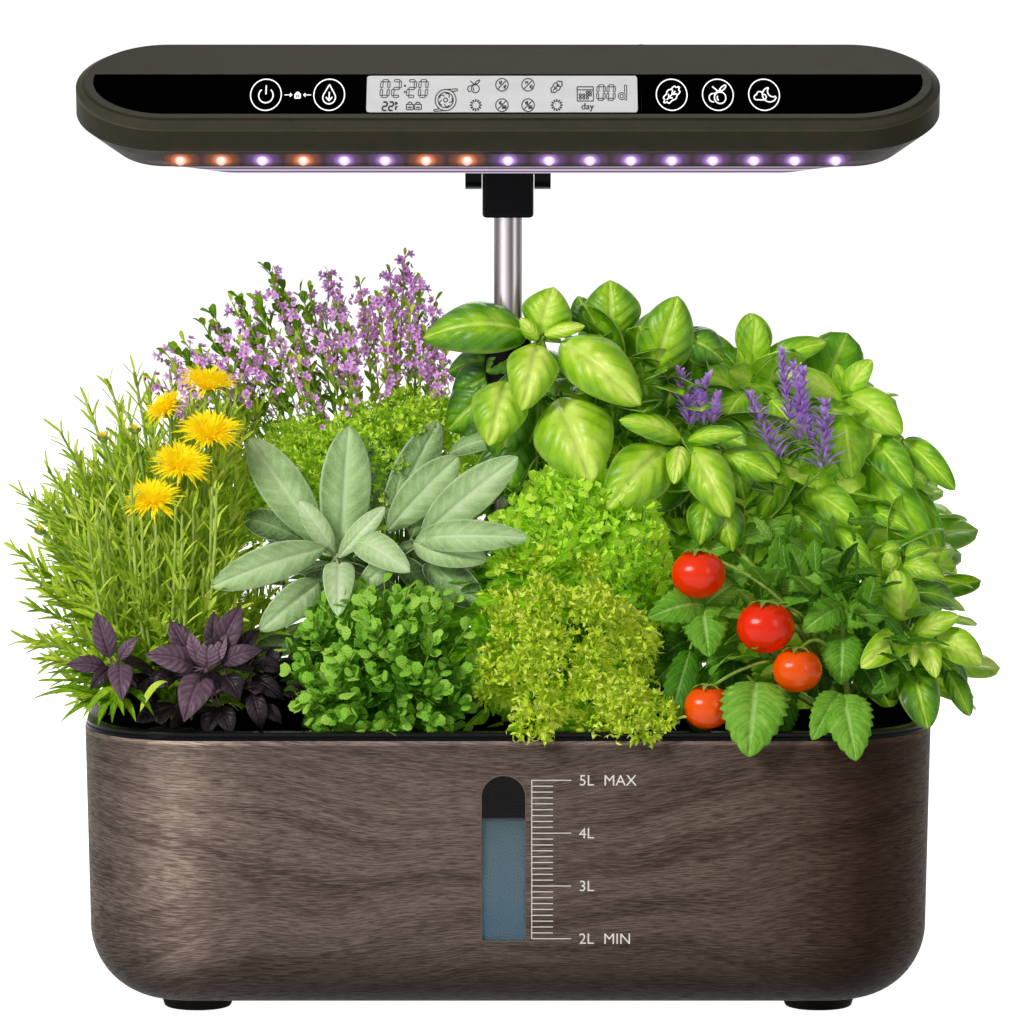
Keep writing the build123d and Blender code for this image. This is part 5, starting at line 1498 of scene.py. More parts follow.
def lace(chance, number, centre, radii, length, width, power=2.0):
    """Narrow curled strips that stand out of a crown's skin in all directions, brightest at their tips."""
    base, out = scatter(chance, number, centre, radii, 0.6, 1.0, -0.7, power)
    direction = unit(out + 0.7 * chance.normal(size=out.shape))
    sizes = (length * (0.6 + 0.6 * chance.random(len(base))))[:, None]
    curl = unit(np.cross(direction, chance.normal(size=out.shape)))
    strips = blades(base, base + direction * sizes, width, curl * 0.3 * sizes, curl, spread_of(0.2, 0.2), 4, 2, 0.4)
    return strips, 0.25 + 0.4 * np.linspace(0, 1, 5)[None, :, None] + 0.35 * chance.random((len(base), 1, 1))


def shade_leaves(chance, name, offset, radii, number, tone=0.05, length=22, width=11):
    """Leaves of low tone, painted shade, that fill the inside of a crown; offset is from the pod's place, in
    millimetres.
    """
    grids, _ = dome_leaves(chance, number, pod_place(name) + mm(*offset), mm(*radii), length * MM,
                           width * MM, basil_leaf, (8, 4), relief=mild_quilt, low=0.3, high=0.85, floor=-0.95)
    inner = Piece().add(grids, tone + 0.25 * chance.random(len(grids)))
    return inner


def thyme():
    """Pink flowering stems over a mound of curly parsley-like leaves."""
    chance = np.random.default_rng(43)
    tips = pixels([
        (150, 378, 40), (165, 352, 44), (185, 342, 46), (215, 327, 44), (232, 302, 46), (250, 326, 40), (272, 276, 46),
        (290, 302, 40), (310, 292, 46), (335, 300, 42), (360, 285, 44), (380, 300, 38), (405, 256, 46), (420, 282, 40),
        (435, 302, 44), (446, 350, 36), (200, 350, 36), (260, 300, 48), (320, 320, 34), (350, 330, 32), (390, 275, 50),
        (300, 330, 50), (240, 345, 34), (280, 340, 32), (410, 310, 34), (365, 310, 50), (330, 275, 54), (395, 330, 30),
        (425, 330, 34), (175, 372, 34), (225, 360, 30), (345, 355, 26), (385, 350, 26), (300, 365, 26), (440, 375, 30),
    ])
    paths = grow(chance, "thyme", tips, 0.5, 8.0, 16)
    behind = tips[::2] * np.array([0.94, 1, 1]) + mm(0, 22, -12)
    paths = np.concatenate([paths, grow(chance, "thyme", behind, 0.5, 8.0, 16)])
    flowers, flower_tone = blossoms(chance, paths, 26, 2.3 * MM, 0.84)
    petals = Piece().add(flowers, flower_tone)
    grids, share = shoots(chance, paths, 40, 7.0 * MM, 2.8 * MM, 0.9, round_leaf, (4, 2), 0.45, 0.0, 0.75)
    small = Piece().add(grids, 0.25 + 0.6 * chance.random(len(share)))
    sprig_tips = pixels([(238, 298, 44), (270, 272, 44), (284, 290, 42), (214, 316, 42), (203, 324, 42),
                         (300, 288, 42), (256, 300, 40), (180, 352, 40)])
    sprigs = grow(chance, "thyme", sprig_tips, 0.5, 8.0, 16)
    tuft, _ = shoots(chance, sprigs, 22, 7.5 * MM, 4.6 * MM, 1.0, round_leaf, (4, 2), 0.7, 0.0, 0.9)
    small.add(tuft, 0.1 + 0.4 * chance.random(len(tuft)))
    stalks = Piece().add(tubes(np.concatenate([paths, sprigs]), 0.8 * MM, 0.4), closed=True)
    curls = Piece()
    place = pod_place("thyme")
    for offset, radii, number in (((-38, -18, 88), (34, 18, 38), 60), ((6, -18, 96), (40, 20, 42), 72)):
        centre = place + mm(*offset)
        for tuft in puffs(chance, number, centre, mm(*radii), 7.5 * MM, -0.3, curl=3.2 * MM, each=(34, 34)):
            curls.add(*tuft)
    ribs = Piece()
    crown_tips = place + mm(0, -12, 90) + unit(chance.normal(size=(26, 3))) * mm(30, 16, 22)
    ribs.add(tubes(grow(chance, "thyme", crown_tips, 0.5, 8.0, 10), 0.9 * MM, 0.6), closed=True)
    inner = shade_leaves(chance, "thyme", (-4, 2, 58), (52, 26, 66), 170)
    build("thyme", petals=(petals, pink_petal), leaves=(small, herb_leaf), stalks=(stalks, green_stem),
          curls=(curls, parsley_green), ribs=(ribs, green_stem), inner=(inner, deep_basil))


def lavender():
    """Violet spikes of whorled florets on long stems over grey-green narrow leaves."""
    chance = np.random.default_rng(47)
    spikes = [
        # foot, top, width in millimetres
        ((690, 424, -12), (680, 377, -14), 12), ((704, 426, -12), (697, 392, -14), 9),
        ((712, 424, -14), (718, 402, -16), 8), ((778, 458, -8), (750, 401, -10), 17),
        ((790, 420, 2), (781, 358, 0), 11), ((800, 440, -2), (802, 376, -4), 14),
        ((823, 470, -6), (825, 409, -8), 18), ((812, 440, 2), (793, 372, 0), 10),
        ((694, 420, -10), (708, 384, -12), 8),
    ]
    florets, feet = Piece(), []
    whorls, in_whorl = 9, 7
    number = whorls * in_whorl
    for low, high, width in spikes:
        foot, top = pixels([low, high])
        feet.append(foot)
        share = np.repeat(np.linspace(0, 1, whorls), in_whorl) + 0.02 * chance.normal(size=number)
        angle = golden_turn * np.arange(number)
        girth = width * 0.45 * MM * (1 - 0.7 * np.clip(share, 0, 1) ** 1.4) * (0.7 + 0.6 * chance.random(number))
        outward = np.stack([np.cos(angle), np.sin(angle), 0 * angle], axis=1)
        base = foot + (top - foot) * share[:, None] + outward * girth[:, None] * 0.15
        tip = base + outward * girth[:, None] * 1.15 + np.array([0, 0, 1]) * 5.2 * MM
        tip += 0.7 * MM * chance.normal(size=tip.shape)
        face = unit(np.array([0, 0, 1.0]) - 0.5 * outward)
        grids = blades(base, tip, 1.9 * MM, face * 0.6 * MM, face, round_leaf, 4, 2, 0.3)
        florets.add(grids, chance.random(number))
    paths = grow(chance, "lavender", np.array(feet), 0.5, 7.0, 14)
    more = fan_of_tips(chance, 60, (600, 815), (400, 580), (6, 84), 0)
    shafts = np.concatenate([paths, grow(chance, "lavender", more, 0.5, 8.0, 14)])
    grids, share = shoots(chance, shafts, 26, 15 * MM, 2.2 * MM, 0.8, needle_leaf, (4, 2), 0.25, 0.0)
    leaves = Piece().add(grids, 0.25 + 0.45 * chance.random(len(share)))
    stalks = Piece().add(tubes(shafts, 0.8 * MM, 0.7), closed=True)
    inner = shade_leaves(chance, "lavender", (4, 10, 66), (50, 28, 74), 230, 0.36, 26, 16)
    build("lavender", florets=(florets, violet_petal), leaves=(leaves, oregano_green),
          stalks=(stalks, green_stem), inner=(inner, deep_basil))


def oregano():
    """A mound of short shoots with pairs of small round leaves."""
    chance = np.random.default_rng(53)
    place = pod_place("oregano")
    centre = place + mm(-4, -2, 26)
    tips, _ = scatter(chance, 320, centre, mm(46, 34, 42), 0.6, 1.0, -0.75)
    paths = grow(chance, "oregano", tips, 0.4, 9.0, 10)
    grids, share = shoots(chance, paths, 10, 7.6 * MM, 6.0 * MM, 1.3, spread_of(0.7, 0.5), (5, 4), 0.6, 0.0,
                          0.8, 0.1, 0.2)
    # leaves low on their shoots, inside the mound, get a low tone: painted shade
    tone = np.clip(0.8 * (share - 0.55) / 0.45, 0, 1) * 0.9 + 0.3 * (chance.random(len(share)) - 0.3)
    leaves = Piece().add(grids, tone)
    stalks = Piece().add(tubes(paths, 0.6 * MM, 0.6), closed=True)
    inner = shade_leaves(chance, "oregano", (-6, -2, 22), (44, 30, 34), 90, 0.05, 14, 9)
    build("oregano", leaves=(leaves, oregano_green), stalks=(stalks, green_stem), inner=(inner, oregano_green))


def lettuce():
    """Lacy yellow-green curls that hang a little over the rim, and a taller cushion of bright round
    cress leaves behind them."""
    chance = np.random.default_rng(59)
    place = pod_place("lettuce")
    curls = Piece()
    domes = (((-26, -8, 32), (37, 28, 32), 76), ((-12, -34, 10), (32, 8, 14), 18), ((-28, -2, 48), (32, 20, 30), 34))
    for offset, radii, number in domes:
        for tuft in puffs(chance, number, place + mm(*offset), mm(*radii), 7 * MM, power=2.3,
                          curl=3.3 * MM, each=(34, 36)):
            curls.add(*tuft)
    cress = Piece()
    tips, _ = scatter(chance, 300, place + mm(-19, 12, 77), mm(42, 24, 42), 0.7, 1.0, -0.6)
    paths = grow(chance, "lettuce", tips, 0.4, 8.0, 10)
    grids, share = shoots(chance, paths, 10, 6.4 * MM, 6.0 * MM, 1.2, round_leaf, (4, 4), 0.7, 0.0, 0.8, 0.1, 0.2)
    # cress leaves low on their shoots get a low tone: painted shade inside the cushion
    cress.add(grids, np.clip((share - 0.65) / 0.35, 0, 1) * 0.6 + 0.3 * chance.random(len(share)))
    cress.add(*curly_crown(chance, 1300, place + mm(-17, 14, 75), mm(38, 22, 40), 5.4 * MM,
                           0.3, 0.35, 0.6, -0.6))
    ribs = Piece()
    rib_tips, _ = scatter(chance, 60, place + mm(-20, -6, 30), mm(38, 26, 34), 0.6, 0.9, -0.2)
    rib_paths = np.concatenate([paths, grow(chance, "lettuce", rib_tips, 0.4, 8.0, 10)])
    ribs.add(tubes(rib_paths, 0.7 * MM, 0.6), closed=True)
    inner = shade_leaves(chance, "lettuce", (-34, 6, 38), (52, 28, 56), 190, 0.1, 16, 12)
    build("lettuce", curls=(curls, lettuce_green), cress=(cress, cress_green), ribs=(ribs, green_stem),
          inner=(inner, cress_green))


tomato_rows = [
    (748, 575, 700, 610, 30, -44, -40, 5, 6, 0.66),
    (648, 618, 704, 606, 38, -62, -44, 7, -6, 0.60),
    (709, 657, 702, 607, 44, -66, -46, 6, 0, 0.62),
    (666, 733, 690, 650, 30, -78, -58, 5, -6, 0.30),
    (749, 757, 757, 682, 62, -92, -66, 8, 0, 0.74),
    (812, 740, 840, 693, 32, -88, -66, 5, -6, 0.66),
    (856, 761, 842, 695, 46, -92, -66, 7, 0, 0.72),
    (841, 685, 843, 632, 40, -58, -46, 5, 0, 0.56),
    (842, 553, 782, 590, 38, -34, -36, 6, 8, 0.72),
    (798, 527, 732, 540, 22, -26, -30, 5, 6, 0.70),
    (802, 632, 842, 607, 32, -58, -46, 5, -6, 0.60),
    (888, 616, 840, 620, 26, -52, -46, 5, 6, 0.62),
    (735, 545, 700, 556, 18, -34, -34, 3, 0, 0.66),
    (660, 660, 690, 640, 30, -50, -42, 4, 0, 0.12),
    (730, 700, 735, 660, 36, -56, -48, 4, 0, 0.08),
    (780, 720, 780, 680, 36, -60, -50, 4, 0, 0.10),
    (780, 560, 755, 600, 24, -38, -40, 4, 0, 0.50),
    (820, 590, 790, 620, 30, -40, -40, 4, 0, 0.22),
    (870, 660, 850, 640, 30, -44, -42, 4, 0, 0.16),
    (700, 735, 700, 690, 34, -64, -56, 4, 0, 0.10),
    (820, 700, 810, 660, 36, -52, -46, 4, 0, 0.08),
    (690, 560, 715, 590, 24, -34, -36, 4, 0, 0.30),
    (840, 740, 830, 700, 30, -62, -56, 4, 0, 0.10),
    (772, 745, 790, 700, 28, -72, -60, 4, 0, 0.20),
    (650, 690, 680, 660, 26, -52, -46, 4, 0, 0.18),
    (880, 700, 860, 665, 28, -50, -44, 4, 0, 0.20),
]
tomato_hubs = [(702, 608, -42), (757, 684, -62), (841, 694, -62), (842, 622, -46), (783, 592, -36), (732, 545, -30)]
# fruits: column, row and depth of the middle, radius in millimetres, ripeness tone (1 is orange)
tomato_fruits = [
    (698, 574, -52, 12.2, 0.24), (765, 627, -62, 13.0, 0.10), (797, 670, -68, 11.1, 0.66), (707, 707, -72, 11.0, 0.62),
]


def fruit(centre, radius, lobes=5):
    """A tomato: a sphere that is flattened and faintly ribbed, with a dimple at its stalk. The angle
    down from the stalk gives its profile and the angle round it the ribs."""
    down = np.linspace(0.02, pi - 0.001, 24)[:, None]
    around = np.linspace(0, 2 * pi, 40, endpoint=False)[None]
    shape = radius * (1 - 0.14 * np.exp(-((down / 0.34) ** 2)) + 0.02 * np.cos(lobes * around) * np.sin(down))
    x = shape * np.sin(down) * np.cos(around)
    y = shape * np.sin(down) * np.sin(around)
    z = 0.9 * shape * np.cos(down) - 0.16 * radius * np.exp(-((down / 0.3) ** 2))
    return centre + np.stack([x, y, z + 0 * x], axis=-1)


def tomato():
    """Toothed and feathery leaves, four fruits with their green stars, and darker leaves inside."""
    chance = np.random.default_rng(61)
    edge = toothed(spread_of(0.5, 0.7), 9, 0.16)
    wide = [(*row[:4], 1.2 * row[4], *row[5:]) for row in tomato_rows]
    grids, tones, base = set_leaves(wide, edge, (45, 12), 0.2, 0.2, relief=quilted(6.0, 1.8, 0.06))
    place = pod_place("tomato")
    fill, _ = dome_leaves(chance, 190, place + mm(-14, 4, 34), mm(50, 28, 42), 20 * MM, 11 * MM,
                          toothed(spread_of(0.55, 0.75), 4, 0.24), (16, 4), relief=mild_quilt, behind=-56 * MM)
    feather_tips = fan_of_tips(chance, 70, (672, 850), (515, 640), (-40, -6), 0)
    feather_foot = feather_tips + mm(0, 8, -9) + 4 * MM * chance.normal(size=feather_tips.shape)
    face = unit(np.tile(front_face, (len(feather_tips), 1)) + 0.5 * chance.normal(size=feather_tips.shape))
    feather_edge = toothed(spread_of(0.55, 0.75), 4, 0.4)
    feathers = blades(feather_foot, feather_tips, 7.5 * MM, face * 1.2 * MM, face, feather_edge, 16, 4, 0.25, 0.1)
    leaves = Piece().add(grids, tones)
    # the fill leaves inside the crown get lower tones: painted shade
    leaves.add(fill, 0.22 + 0.5 * chance.random(len(fill)))
    leaves.add(feathers, 0.45 + 0.4 * chance.random(len(feathers)))
    skins, stars, feet = Piece(), Piece(), []
    for column, row, depth, radius, tone in tomato_fruits:
        centre = spot(column, row, depth * MM)
        skins.add(fruit(centre, radius * MM)[None], tone, closed=True)
        crown = centre + mm(0, 0, 0.76 * radius)
        angle = np.linspace(0, 2 * pi, 6, endpoint=False) + 0.3
        outward = np.stack([np.cos(angle), np.sin(angle), 0 * angle], axis=1)
        tip = crown + outward * 0.66 * radius * MM - np.array([0, 0, 0.02]) * radius * MM
        up = np.tile([0.0, 0.0, 1.0], (6, 1))
        stars.add(blades(crown + 0 * outward, tip, 2.8 * MM, up * 1.6 * MM, up, long_leaf, 8, 2, 0.3), 0.55)
        feet.append(crown - mm(0, 0, 1.0))
    feet = np.array(feet)
    root = np.broadcast_to(place + mm(0, 0, 22), feet.shape)
    knee = (feet + root) / 2 + mm(0, 0, 22)
    hubs = pixels(tomato_hubs)
    wood = Piece().add(tubes(bends(root, knee, feet, 12), 0.9 * MM, 0.9, 7), closed=True)
    wood.add(trunk(chance, "tomato", hubs, 1.8 * MM), closed=True)
    wood.add(petioles(hubs, base, 0.8 * MM, chance), closed=True)
    build("tomato", leaves=(leaves, tomato_green, 0.3 * MM), fruits=(skins, tomato_skin),
          stars=(stars, green_stem), stems=(wood, green_stem))


for plant in (purple_basil, oregano, lettuce, tomato, marigold, bush_basil, rosemary, thyme, lavender, back_basil):
    plant()


# ------------------------------------------------------------------ water
def water():
    """The water that fills the basin up to the gauge's level: the plan is the basin's round-cornered
    rectangle, drawn in a little toward the floor."""
    low, high = 10.0 * MM, water_level
    heights = np.array([low, 20 * MM, 34 * MM, 60 * MM, high])
    inset = mm(26, 8.5, 4.6, 3.6, 3.4)
    angle = np.linspace(0, 2 * pi, 96, endpoint=False)
    rings = []
    for height, shrink in zip(heights, inset):
        corner = basin_corner - shrink
        half = tank_high[:2] - basin_corner
        x = np.sign(np.cos(angle)) * half[0] * (np.abs(np.cos(angle)) > 1e-9) + corner * np.cos(angle)
        y = np.sign(np.sin(angle)) * half[1] * (np.abs(np.sin(angle)) > 1e-9) + corner * np.sin(angle)
        rings.append(np.stack([x, y, np.full_like(x, height)], axis=1))
    middle_low = [0, 0, low] + 1e-4 * rings[0] * [1, 1, 0]
    middle_high = [0, 0, high] + 1e-4 * rings[-1] * [1, 1, 0]
    body = Piece().add(np.array([middle_low, *rings, middle_high])[None], closed=True)
    body.make("water", "tank", "clear_window", water_finish())


water()


# ------------------------------------------------------------------ printed marks
def ribbons(paths, width, surface, lift=0.06 * MM):
    """Printed strokes: flat bands of even width along flat paths. surface turns plane coordinates into
    points and a normal; the bands lie lift above it."""
    grids = []
    for path in paths:
        path = np.asarray(path, float)
        along = np.gradient(path, axis=0)
        along /= np.linalg.norm(along, axis=1, keepdims=True) + 1e-12
        side = np.stack([-along[:, 1], along[:, 0]], axis=1) * width / 2
        edges = np.stack([path - side, path + side], axis=1)
        grids.append(surface(edges[..., 0], edges[..., 1], lift))
    return grids


def printed(paths, width, surface):
    """One piece of printed strokes."""
    made = Piece()
    for grid in ribbons(paths, width, surface):
        made.add(grid[None])
    return made


def stroke(*points):
    """A straight-sided path through the points, doubled at its corners so that they stay sharp."""
    points = np.array(points, float)
    out = []
    for start, end in zip(points, points[1:]):
        share = np.linspace(0, 1, 3)[:, None]
        out.append(start + (end - start) * share)
    return out


def arc(centre, radius, start=0.0, end=360.0, steps=28):
    """Part of a circle from one angle to another, in degrees."""
    angle = np.radians(np.linspace(start, end, steps))
    return np.stack([centre[0] + radius * np.cos(angle), centre[1] + radius * np.sin(angle)], axis=1)


def oblong(left, top, right, bottom):
    return stroke((left, top), (right, top), (right, bottom), (left, bottom), (left, top))


def placed(paths, centre, size):
    """Paths drawn about zero at size 1, enlarged and moved to centre."""
    return [np.array(path) * size + centre for path in paths]


def ink(name, red, green, blue, glow):
    """Screen-printed ink, a little uneven, with a glow: back-light on the lamp's panel, painted light on the tank's
    gauge.
    """
    finish = Finish(name, tint(red, green, blue), 0.6, Specular_IOR_Level=0.1)
    patch = finish.grain(finish.place(), 900, 2)
    darker = tint(int(red * 0.9), int(green * 0.9), int(blue * 0.9))
    colour = finish.blend(patch, darker, tint(red, green, blue))
    finish.coat(Base_Color=colour, Emission_Color=colour, Emission_Strength=glow)
    return finish.material


# the gauge is printed on the film, not back-lit: its glow is painted light
gauge_ink = ink("gauge_ink", 232, 226, 218, 0.25)
panel_ink = ink("panel_ink", 245, 245, 245, 0.85)
lcd_ink = ink("lcd_ink", 44, 45, 48, 0.0)
draft = radians(1.3)


def on_gauge(x, z, lift):
    """Points on the tank's front, whose wall leans out a little toward the rim."""
    y = tank_low[1] + (tank_high[2] - z) * np.tan(draft) - lift
    return np.stack([x, y, z], axis=-1)


gauge_x = 10.6 * MM
mark_low, mark_high = 39.1 * MM, 110.9 * MM
mark_steps = 27


def words(text, size, place, surface, name, body, finish):
    """Lettering turned to a mesh and laid on a surface; place is its lower left corner."""
    curve = bpy.data.curves.new(name, "FONT")
    curve.body = text
    curve.size = size
    curve.resolution_u = 3
    holder = bpy.data.objects.new(name, curve)
    bpy.context.scene.collection.objects.link(holder)
    bpy.context.view_layer.update()
    mesh = bpy.data.meshes.new_from_object(holder.evaluated_get(bpy.context.evaluated_depsgraph_get()))
    bpy.data.objects.remove(holder)
    flat = np.empty(len(mesh.vertices) * 3)
    mesh.vertices.foreach_get("co", flat)
    flat = flat.reshape(-1, 3)
    mesh.vertices.foreach_set("co", surface(flat[:, 0] + place[0], flat[:, 1] + place[1], 0.06 * MM).ravel())
    mesh.materials.clear()
    mesh.materials.append(finish)
    made = bpy.data.objects.new(name, mesh)
    bpy.context.scene.collection.objects.link(made)
    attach(made, body)


def gauge_marks():
    """The scale beside the window: a line with 28 ticks, every ninth one long and lettered."""
    paths = stroke((gauge_x, mark_low), (gauge_x, mark_high))
    for index in range(mark_steps + 1):
        z = mark_low + (mark_high - mark_low) * index / mark_steps
        reach = (17.6 if index % 9 == 0 else 9.5) * MM
        paths += stroke((gauge_x, z), (gauge_x + reach, z))
    printed(paths, 0.42 * MM, on_gauge).make("gauge_scale", "tank", "wood_print", gauge_ink)
    cap = 4.7 * MM
    for number, extra in ((2, "MIN"), (3, ""), (4, ""), (5, "MAX")):
        z = mark_low + (mark_high - mark_low) * (number - 2) / 3 - cap / 2
        words(f"{number}L", 6.9 * MM, (31.6 * MM, z), on_gauge, f"gauge_{number}", "tank", gauge_ink)
        if extra:
            words(extra, 6.9 * MM, (42.5 * MM, z), on_gauge, f"gauge_{extra}", "tank", gauge_ink)


gauge_marks()


def window_edge():
    """Pale cut edge of the film round the gauge window: an arch on a nearly square foot."""
    low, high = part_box("level_window")
    middle, half = (low.x + high.x) / 2, 9.9 * MM
    foot, crown = 37.8 * MM, 112.9 * MM - 9.7 * MM
    arch = arc((middle, crown), half, 0, 180, 40)
    foot_line = stroke((middle - half, foot), (middle + half, foot))
    sides = stroke((middle - half, crown), (middle - half, foot))
    sides += stroke((middle + half, foot), (middle + half, crown))
    edge = printed([arch, *sides, *foot_line], 0.4 * MM, on_gauge)
    edge.make("window_edge", "tank", "wood_print", ink("film_edge", 128, 110, 96, 0.0))


window_edge()


def light_pipe():
    """Violet light pipe under the lamp's front edge: a bar whose section is a small half round."""
    reach, across_steps = 149 * MM, 90
    angle = np.linspace(0, pi, 9)
    x = np.linspace(-reach, reach, across_steps)[:, None]
    taper = np.clip((reach - np.abs(x)) / (26 * MM), 0.12, 1.0)
    back = -22.6 * MM + 1.5 * MM * np.cos(angle)
    up = 13 * MM - taper * 4.1 * MM * np.sin(angle)
    bar = Piece().add(on_lamp(x + 0 * back, back + 0 * x, up)[None])
    glow = Finish("light_pipe", tint(20, 16, 22), 0.5, Specular_IOR_Level=0.0)
    haze = glow.grain(glow.place(), 200, 2)
    # lines along it, from below: millimetres above the hinge, and colour; the dark band at 11.9 mm is painted shade
    # under the lamp's edge
    lines = [(9.0, (246, 238, 248)), (9.6, (200, 176, 208)), (10.4, (76, 52, 90)), (11.2, (240, 224, 246)),
             (11.9, (40, 26, 50)), (12.5, (166, 150, 164))]
    height = glow.line(glow.less(haze, 0.5), 0.1 * MM, beside_lamp(glow))
    stops = [(place, tint(*shade)) for place, shade in lines]
    glow.coat(Emission_Color=glow.bands(glow.times(height, 1 / MM), 9.0, 14.0, stops), Emission_Strength=1.0)
    bar.make("light_pipe", "lamp", "diffuser", glow.material)


light_pipe()


def front_beads():
    """Seventeen round lamps on the front bevel, each a ball of 2.3 mm radius sunk into the smoked strip."""
    places = (np.arange(led_count) - led_limit) * led_pitch
    turn = np.linspace(0, 2 * pi, 16, endpoint=False)[None, None, :]
    drop = np.linspace(pi, 0, 10)[None, :, None]
    radius = 2.3 * MM
    x = places[:, None, None] + radius * np.sin(drop) * np.cos(turn)
    back = led_back + radius * np.sin(drop) * np.sin(turn) + 0 * x
    up = led_up + radius * np.cos(drop) + 0 * x
    beads = Piece().add(on_lamp(x, back, up), closed=True)
    beads.make("front_beads", "lamp", "led", finishes["led"], stands_for=("front_leds",))


front_beads()

# The panel's drawings are set out on a square grid whose steps are as wide along the lamp as they look
# from the front; across the leaning top they are stretched so that circles look round.
panel_column, panel_row = 508.0, 74.7
panel_step = mm(0.4484, 1.026)
panel_chord = 6.5 * MM


def on_panel(column, row, lift):
    """Points on the panel at places of its drawing grid, lift above the lamp's top."""
    x = (column - panel_column) * panel_step[0]
    back = panel_chord - (row - panel_row) * panel_step[1]
    return on_lamp(x, back, lamp_top + lift)


def panel_piece(name, paths, width, slot, finish):
    """Ribbons on the panel, of even width as they look from the front."""
    printed(paths, width, on_panel).make(name, "lamp", slot, finish)


def ring_of_teeth(centre, inner, outer, count):
    """Short spokes round a centre, from the inner to the outer radius."""
    paths = []
    for index in range(count):
        angle = 2 * pi * index / count
        way = np.array([np.cos(angle), np.sin(angle)])
        paths += stroke(np.array(centre) + way * inner, np.array(centre) + way * outer)
    return paths


def leaf_sign(centre, size):
    """A lobed leaf that leans to the upper right, with its midrib and two side ribs."""
    angle = np.linspace(0, 2 * pi, 64)
    lobe = 1 + 0.1 * np.cos(8 * angle)
    along, aside = 0.98 * lobe * np.cos(angle), 0.6 * lobe * np.sin(angle)
    outline = np.stack([0.77 * along + 0.64 * aside, -0.77 * along + 0.64 * aside], axis=1)
    ribs = stroke((-0.55, 0.55), (0.4, -0.4)) + stroke((0.1, -0.55), (0.05, -0.05), (0.55, -0.1))
    ribs += stroke((-0.35, -0.1), (-0.3, 0.3), (0.1, 0.35))
    return placed([outline, *ribs], centre, size)


def fruit_sign(centre, size):
    """Two fruits, the smaller behind at the left, with crossed stalks and a leaf."""
    angle = np.linspace(0, 2 * pi, 24)
    leaf = np.stack([0.5 + 0.34 * np.cos(angle) - 0.1 * np.sin(angle),
                     -0.66 - 0.3 * np.cos(angle) - 0.12 * np.sin(angle)], axis=1)
    stalks = stroke((0.1, -0.3), (-0.55, -0.85)) + stroke((-0.35, -0.15), (0.3, -0.5))
    rounds = [arc((0.22, 0.28), 0.58), arc((-0.48, 0.28), 0.42, 80, 300), arc((0.22, 0.28), 0.3, 120, 220, 10)]
    return placed([*rounds, leaf, *stalks], centre, size)


def night_sign(centre, size):
    """A small cloud in front of a crescent moon that opens to the upper right."""
    moon = [arc((0.52, -0.02), 0.68, 20, 262, 30), arc((0.86, -0.34), 0.52, 60, 222, 20)]
    cloud = [arc((-0.72, 0.22), 0.24, 90, 270, 14), arc((-0.42, -0.02), 0.3, 170, 340, 16),
             arc((-0.06, 0.2), 0.26, -90, 90, 14)]
    return placed([*moon, *cloud, *stroke((-0.72, 0.46), (-0.06, 0.46))], centre, size)


def lock_sign(centre, size):
    """A padlock: its body with a bar across, and its shackle."""
    shackle = arc((0, 0), 0.65, 180, 360, 12)
    return placed([*oblong(-1, 0, 1, 1.5), shackle, *stroke((0, 0.5), (0, 1))], centre, size)


def panel_marks():
    """Touch signs printed on the black glass."""
    button_columns, button_row, button_radius = (267, 330, 671, 717, 763), 94.8, 15.3
    rings = [arc((column, button_row), button_radius, steps=56) for column in button_columns]
    panel_piece("panel_rings", rings, 1.15, "control_glass", panel_ink)
    signs = [arc((267, 95.5), 7.2, -52, 232)] + stroke((267, 85.5), (267, 94.5))
    signs += [arc((330, 97.5), 6.3, -28, 208)] + stroke((324.4, 94.6), (330, 84.8), (335.6, 94.6))
    signs += stroke((330, 92), (330, 100)) + stroke((326.8, 97), (330, 100.8), (333.2, 97))
    signs += leaf_sign((671, 94.8), 9.4) + fruit_sign((717, 95), 9.8) + night_sign((763, 95), 10.4)
    panel_piece("panel_signs", signs, 1.3, "control_glass", panel_ink)
    small = stroke((285.5, 95), (293, 95)) + stroke((291, 93.2), (293, 95), (291, 96.8))
    small += stroke((304.5, 95), (312, 95)) + stroke((306.5, 93.2), (304.5, 95), (306.5, 96.8))
    small += lock_sign((298.6, 94.0), 2.8) + lock_sign((298.6, 94.6), 2.0)
    panel_piece("panel_lock", small, 0.9, "control_glass", panel_ink)


panel_marks()

seven_segments = {"0": "abcdef", "2": "abged", "1": "bc", "4": "fgbc", "6": "afgedc", "8": "abcdefg"}


def digit(place, size, figure, hollow=True):
    """A seven-segment figure drawn as thin hollow bars, or as single lines, that lean a little; place is
    its top left."""
    width, height = size
    bar = 0.15 * height
    half = height / 2
    slots = {
        "a": ((0, 0), (width, 0)), "d": ((0, height), (width, height)), "g": ((0, half), (width, half)),
        "f": ((0, 0), (0, half)), "b": ((width, 0), (width, half)),
        "e": ((0, half), (0, height)), "c": ((width, half), (width, height)),
    }
    paths = []
    for key in seven_segments[figure]:
        start, end = np.array(slots[key][0], float), np.array(slots[key][1], float)
        way = (end - start) / np.linalg.norm(end - start)
        side = np.array([-way[1], way[0]]) * bar / 2
        start, end = start + way * bar * 0.6, end - way * bar * 0.6
        if not hollow:
            side = side * 0
        point = way * bar * 0.4
        loop = [start - side, end - side, end + point, end + side, start + side, start - point, start - side]
        lean = [(x + place[0] - 0.06 * (y - half), y + place[1]) for x, y in loop]
        paths += stroke(*lean)
    return paths


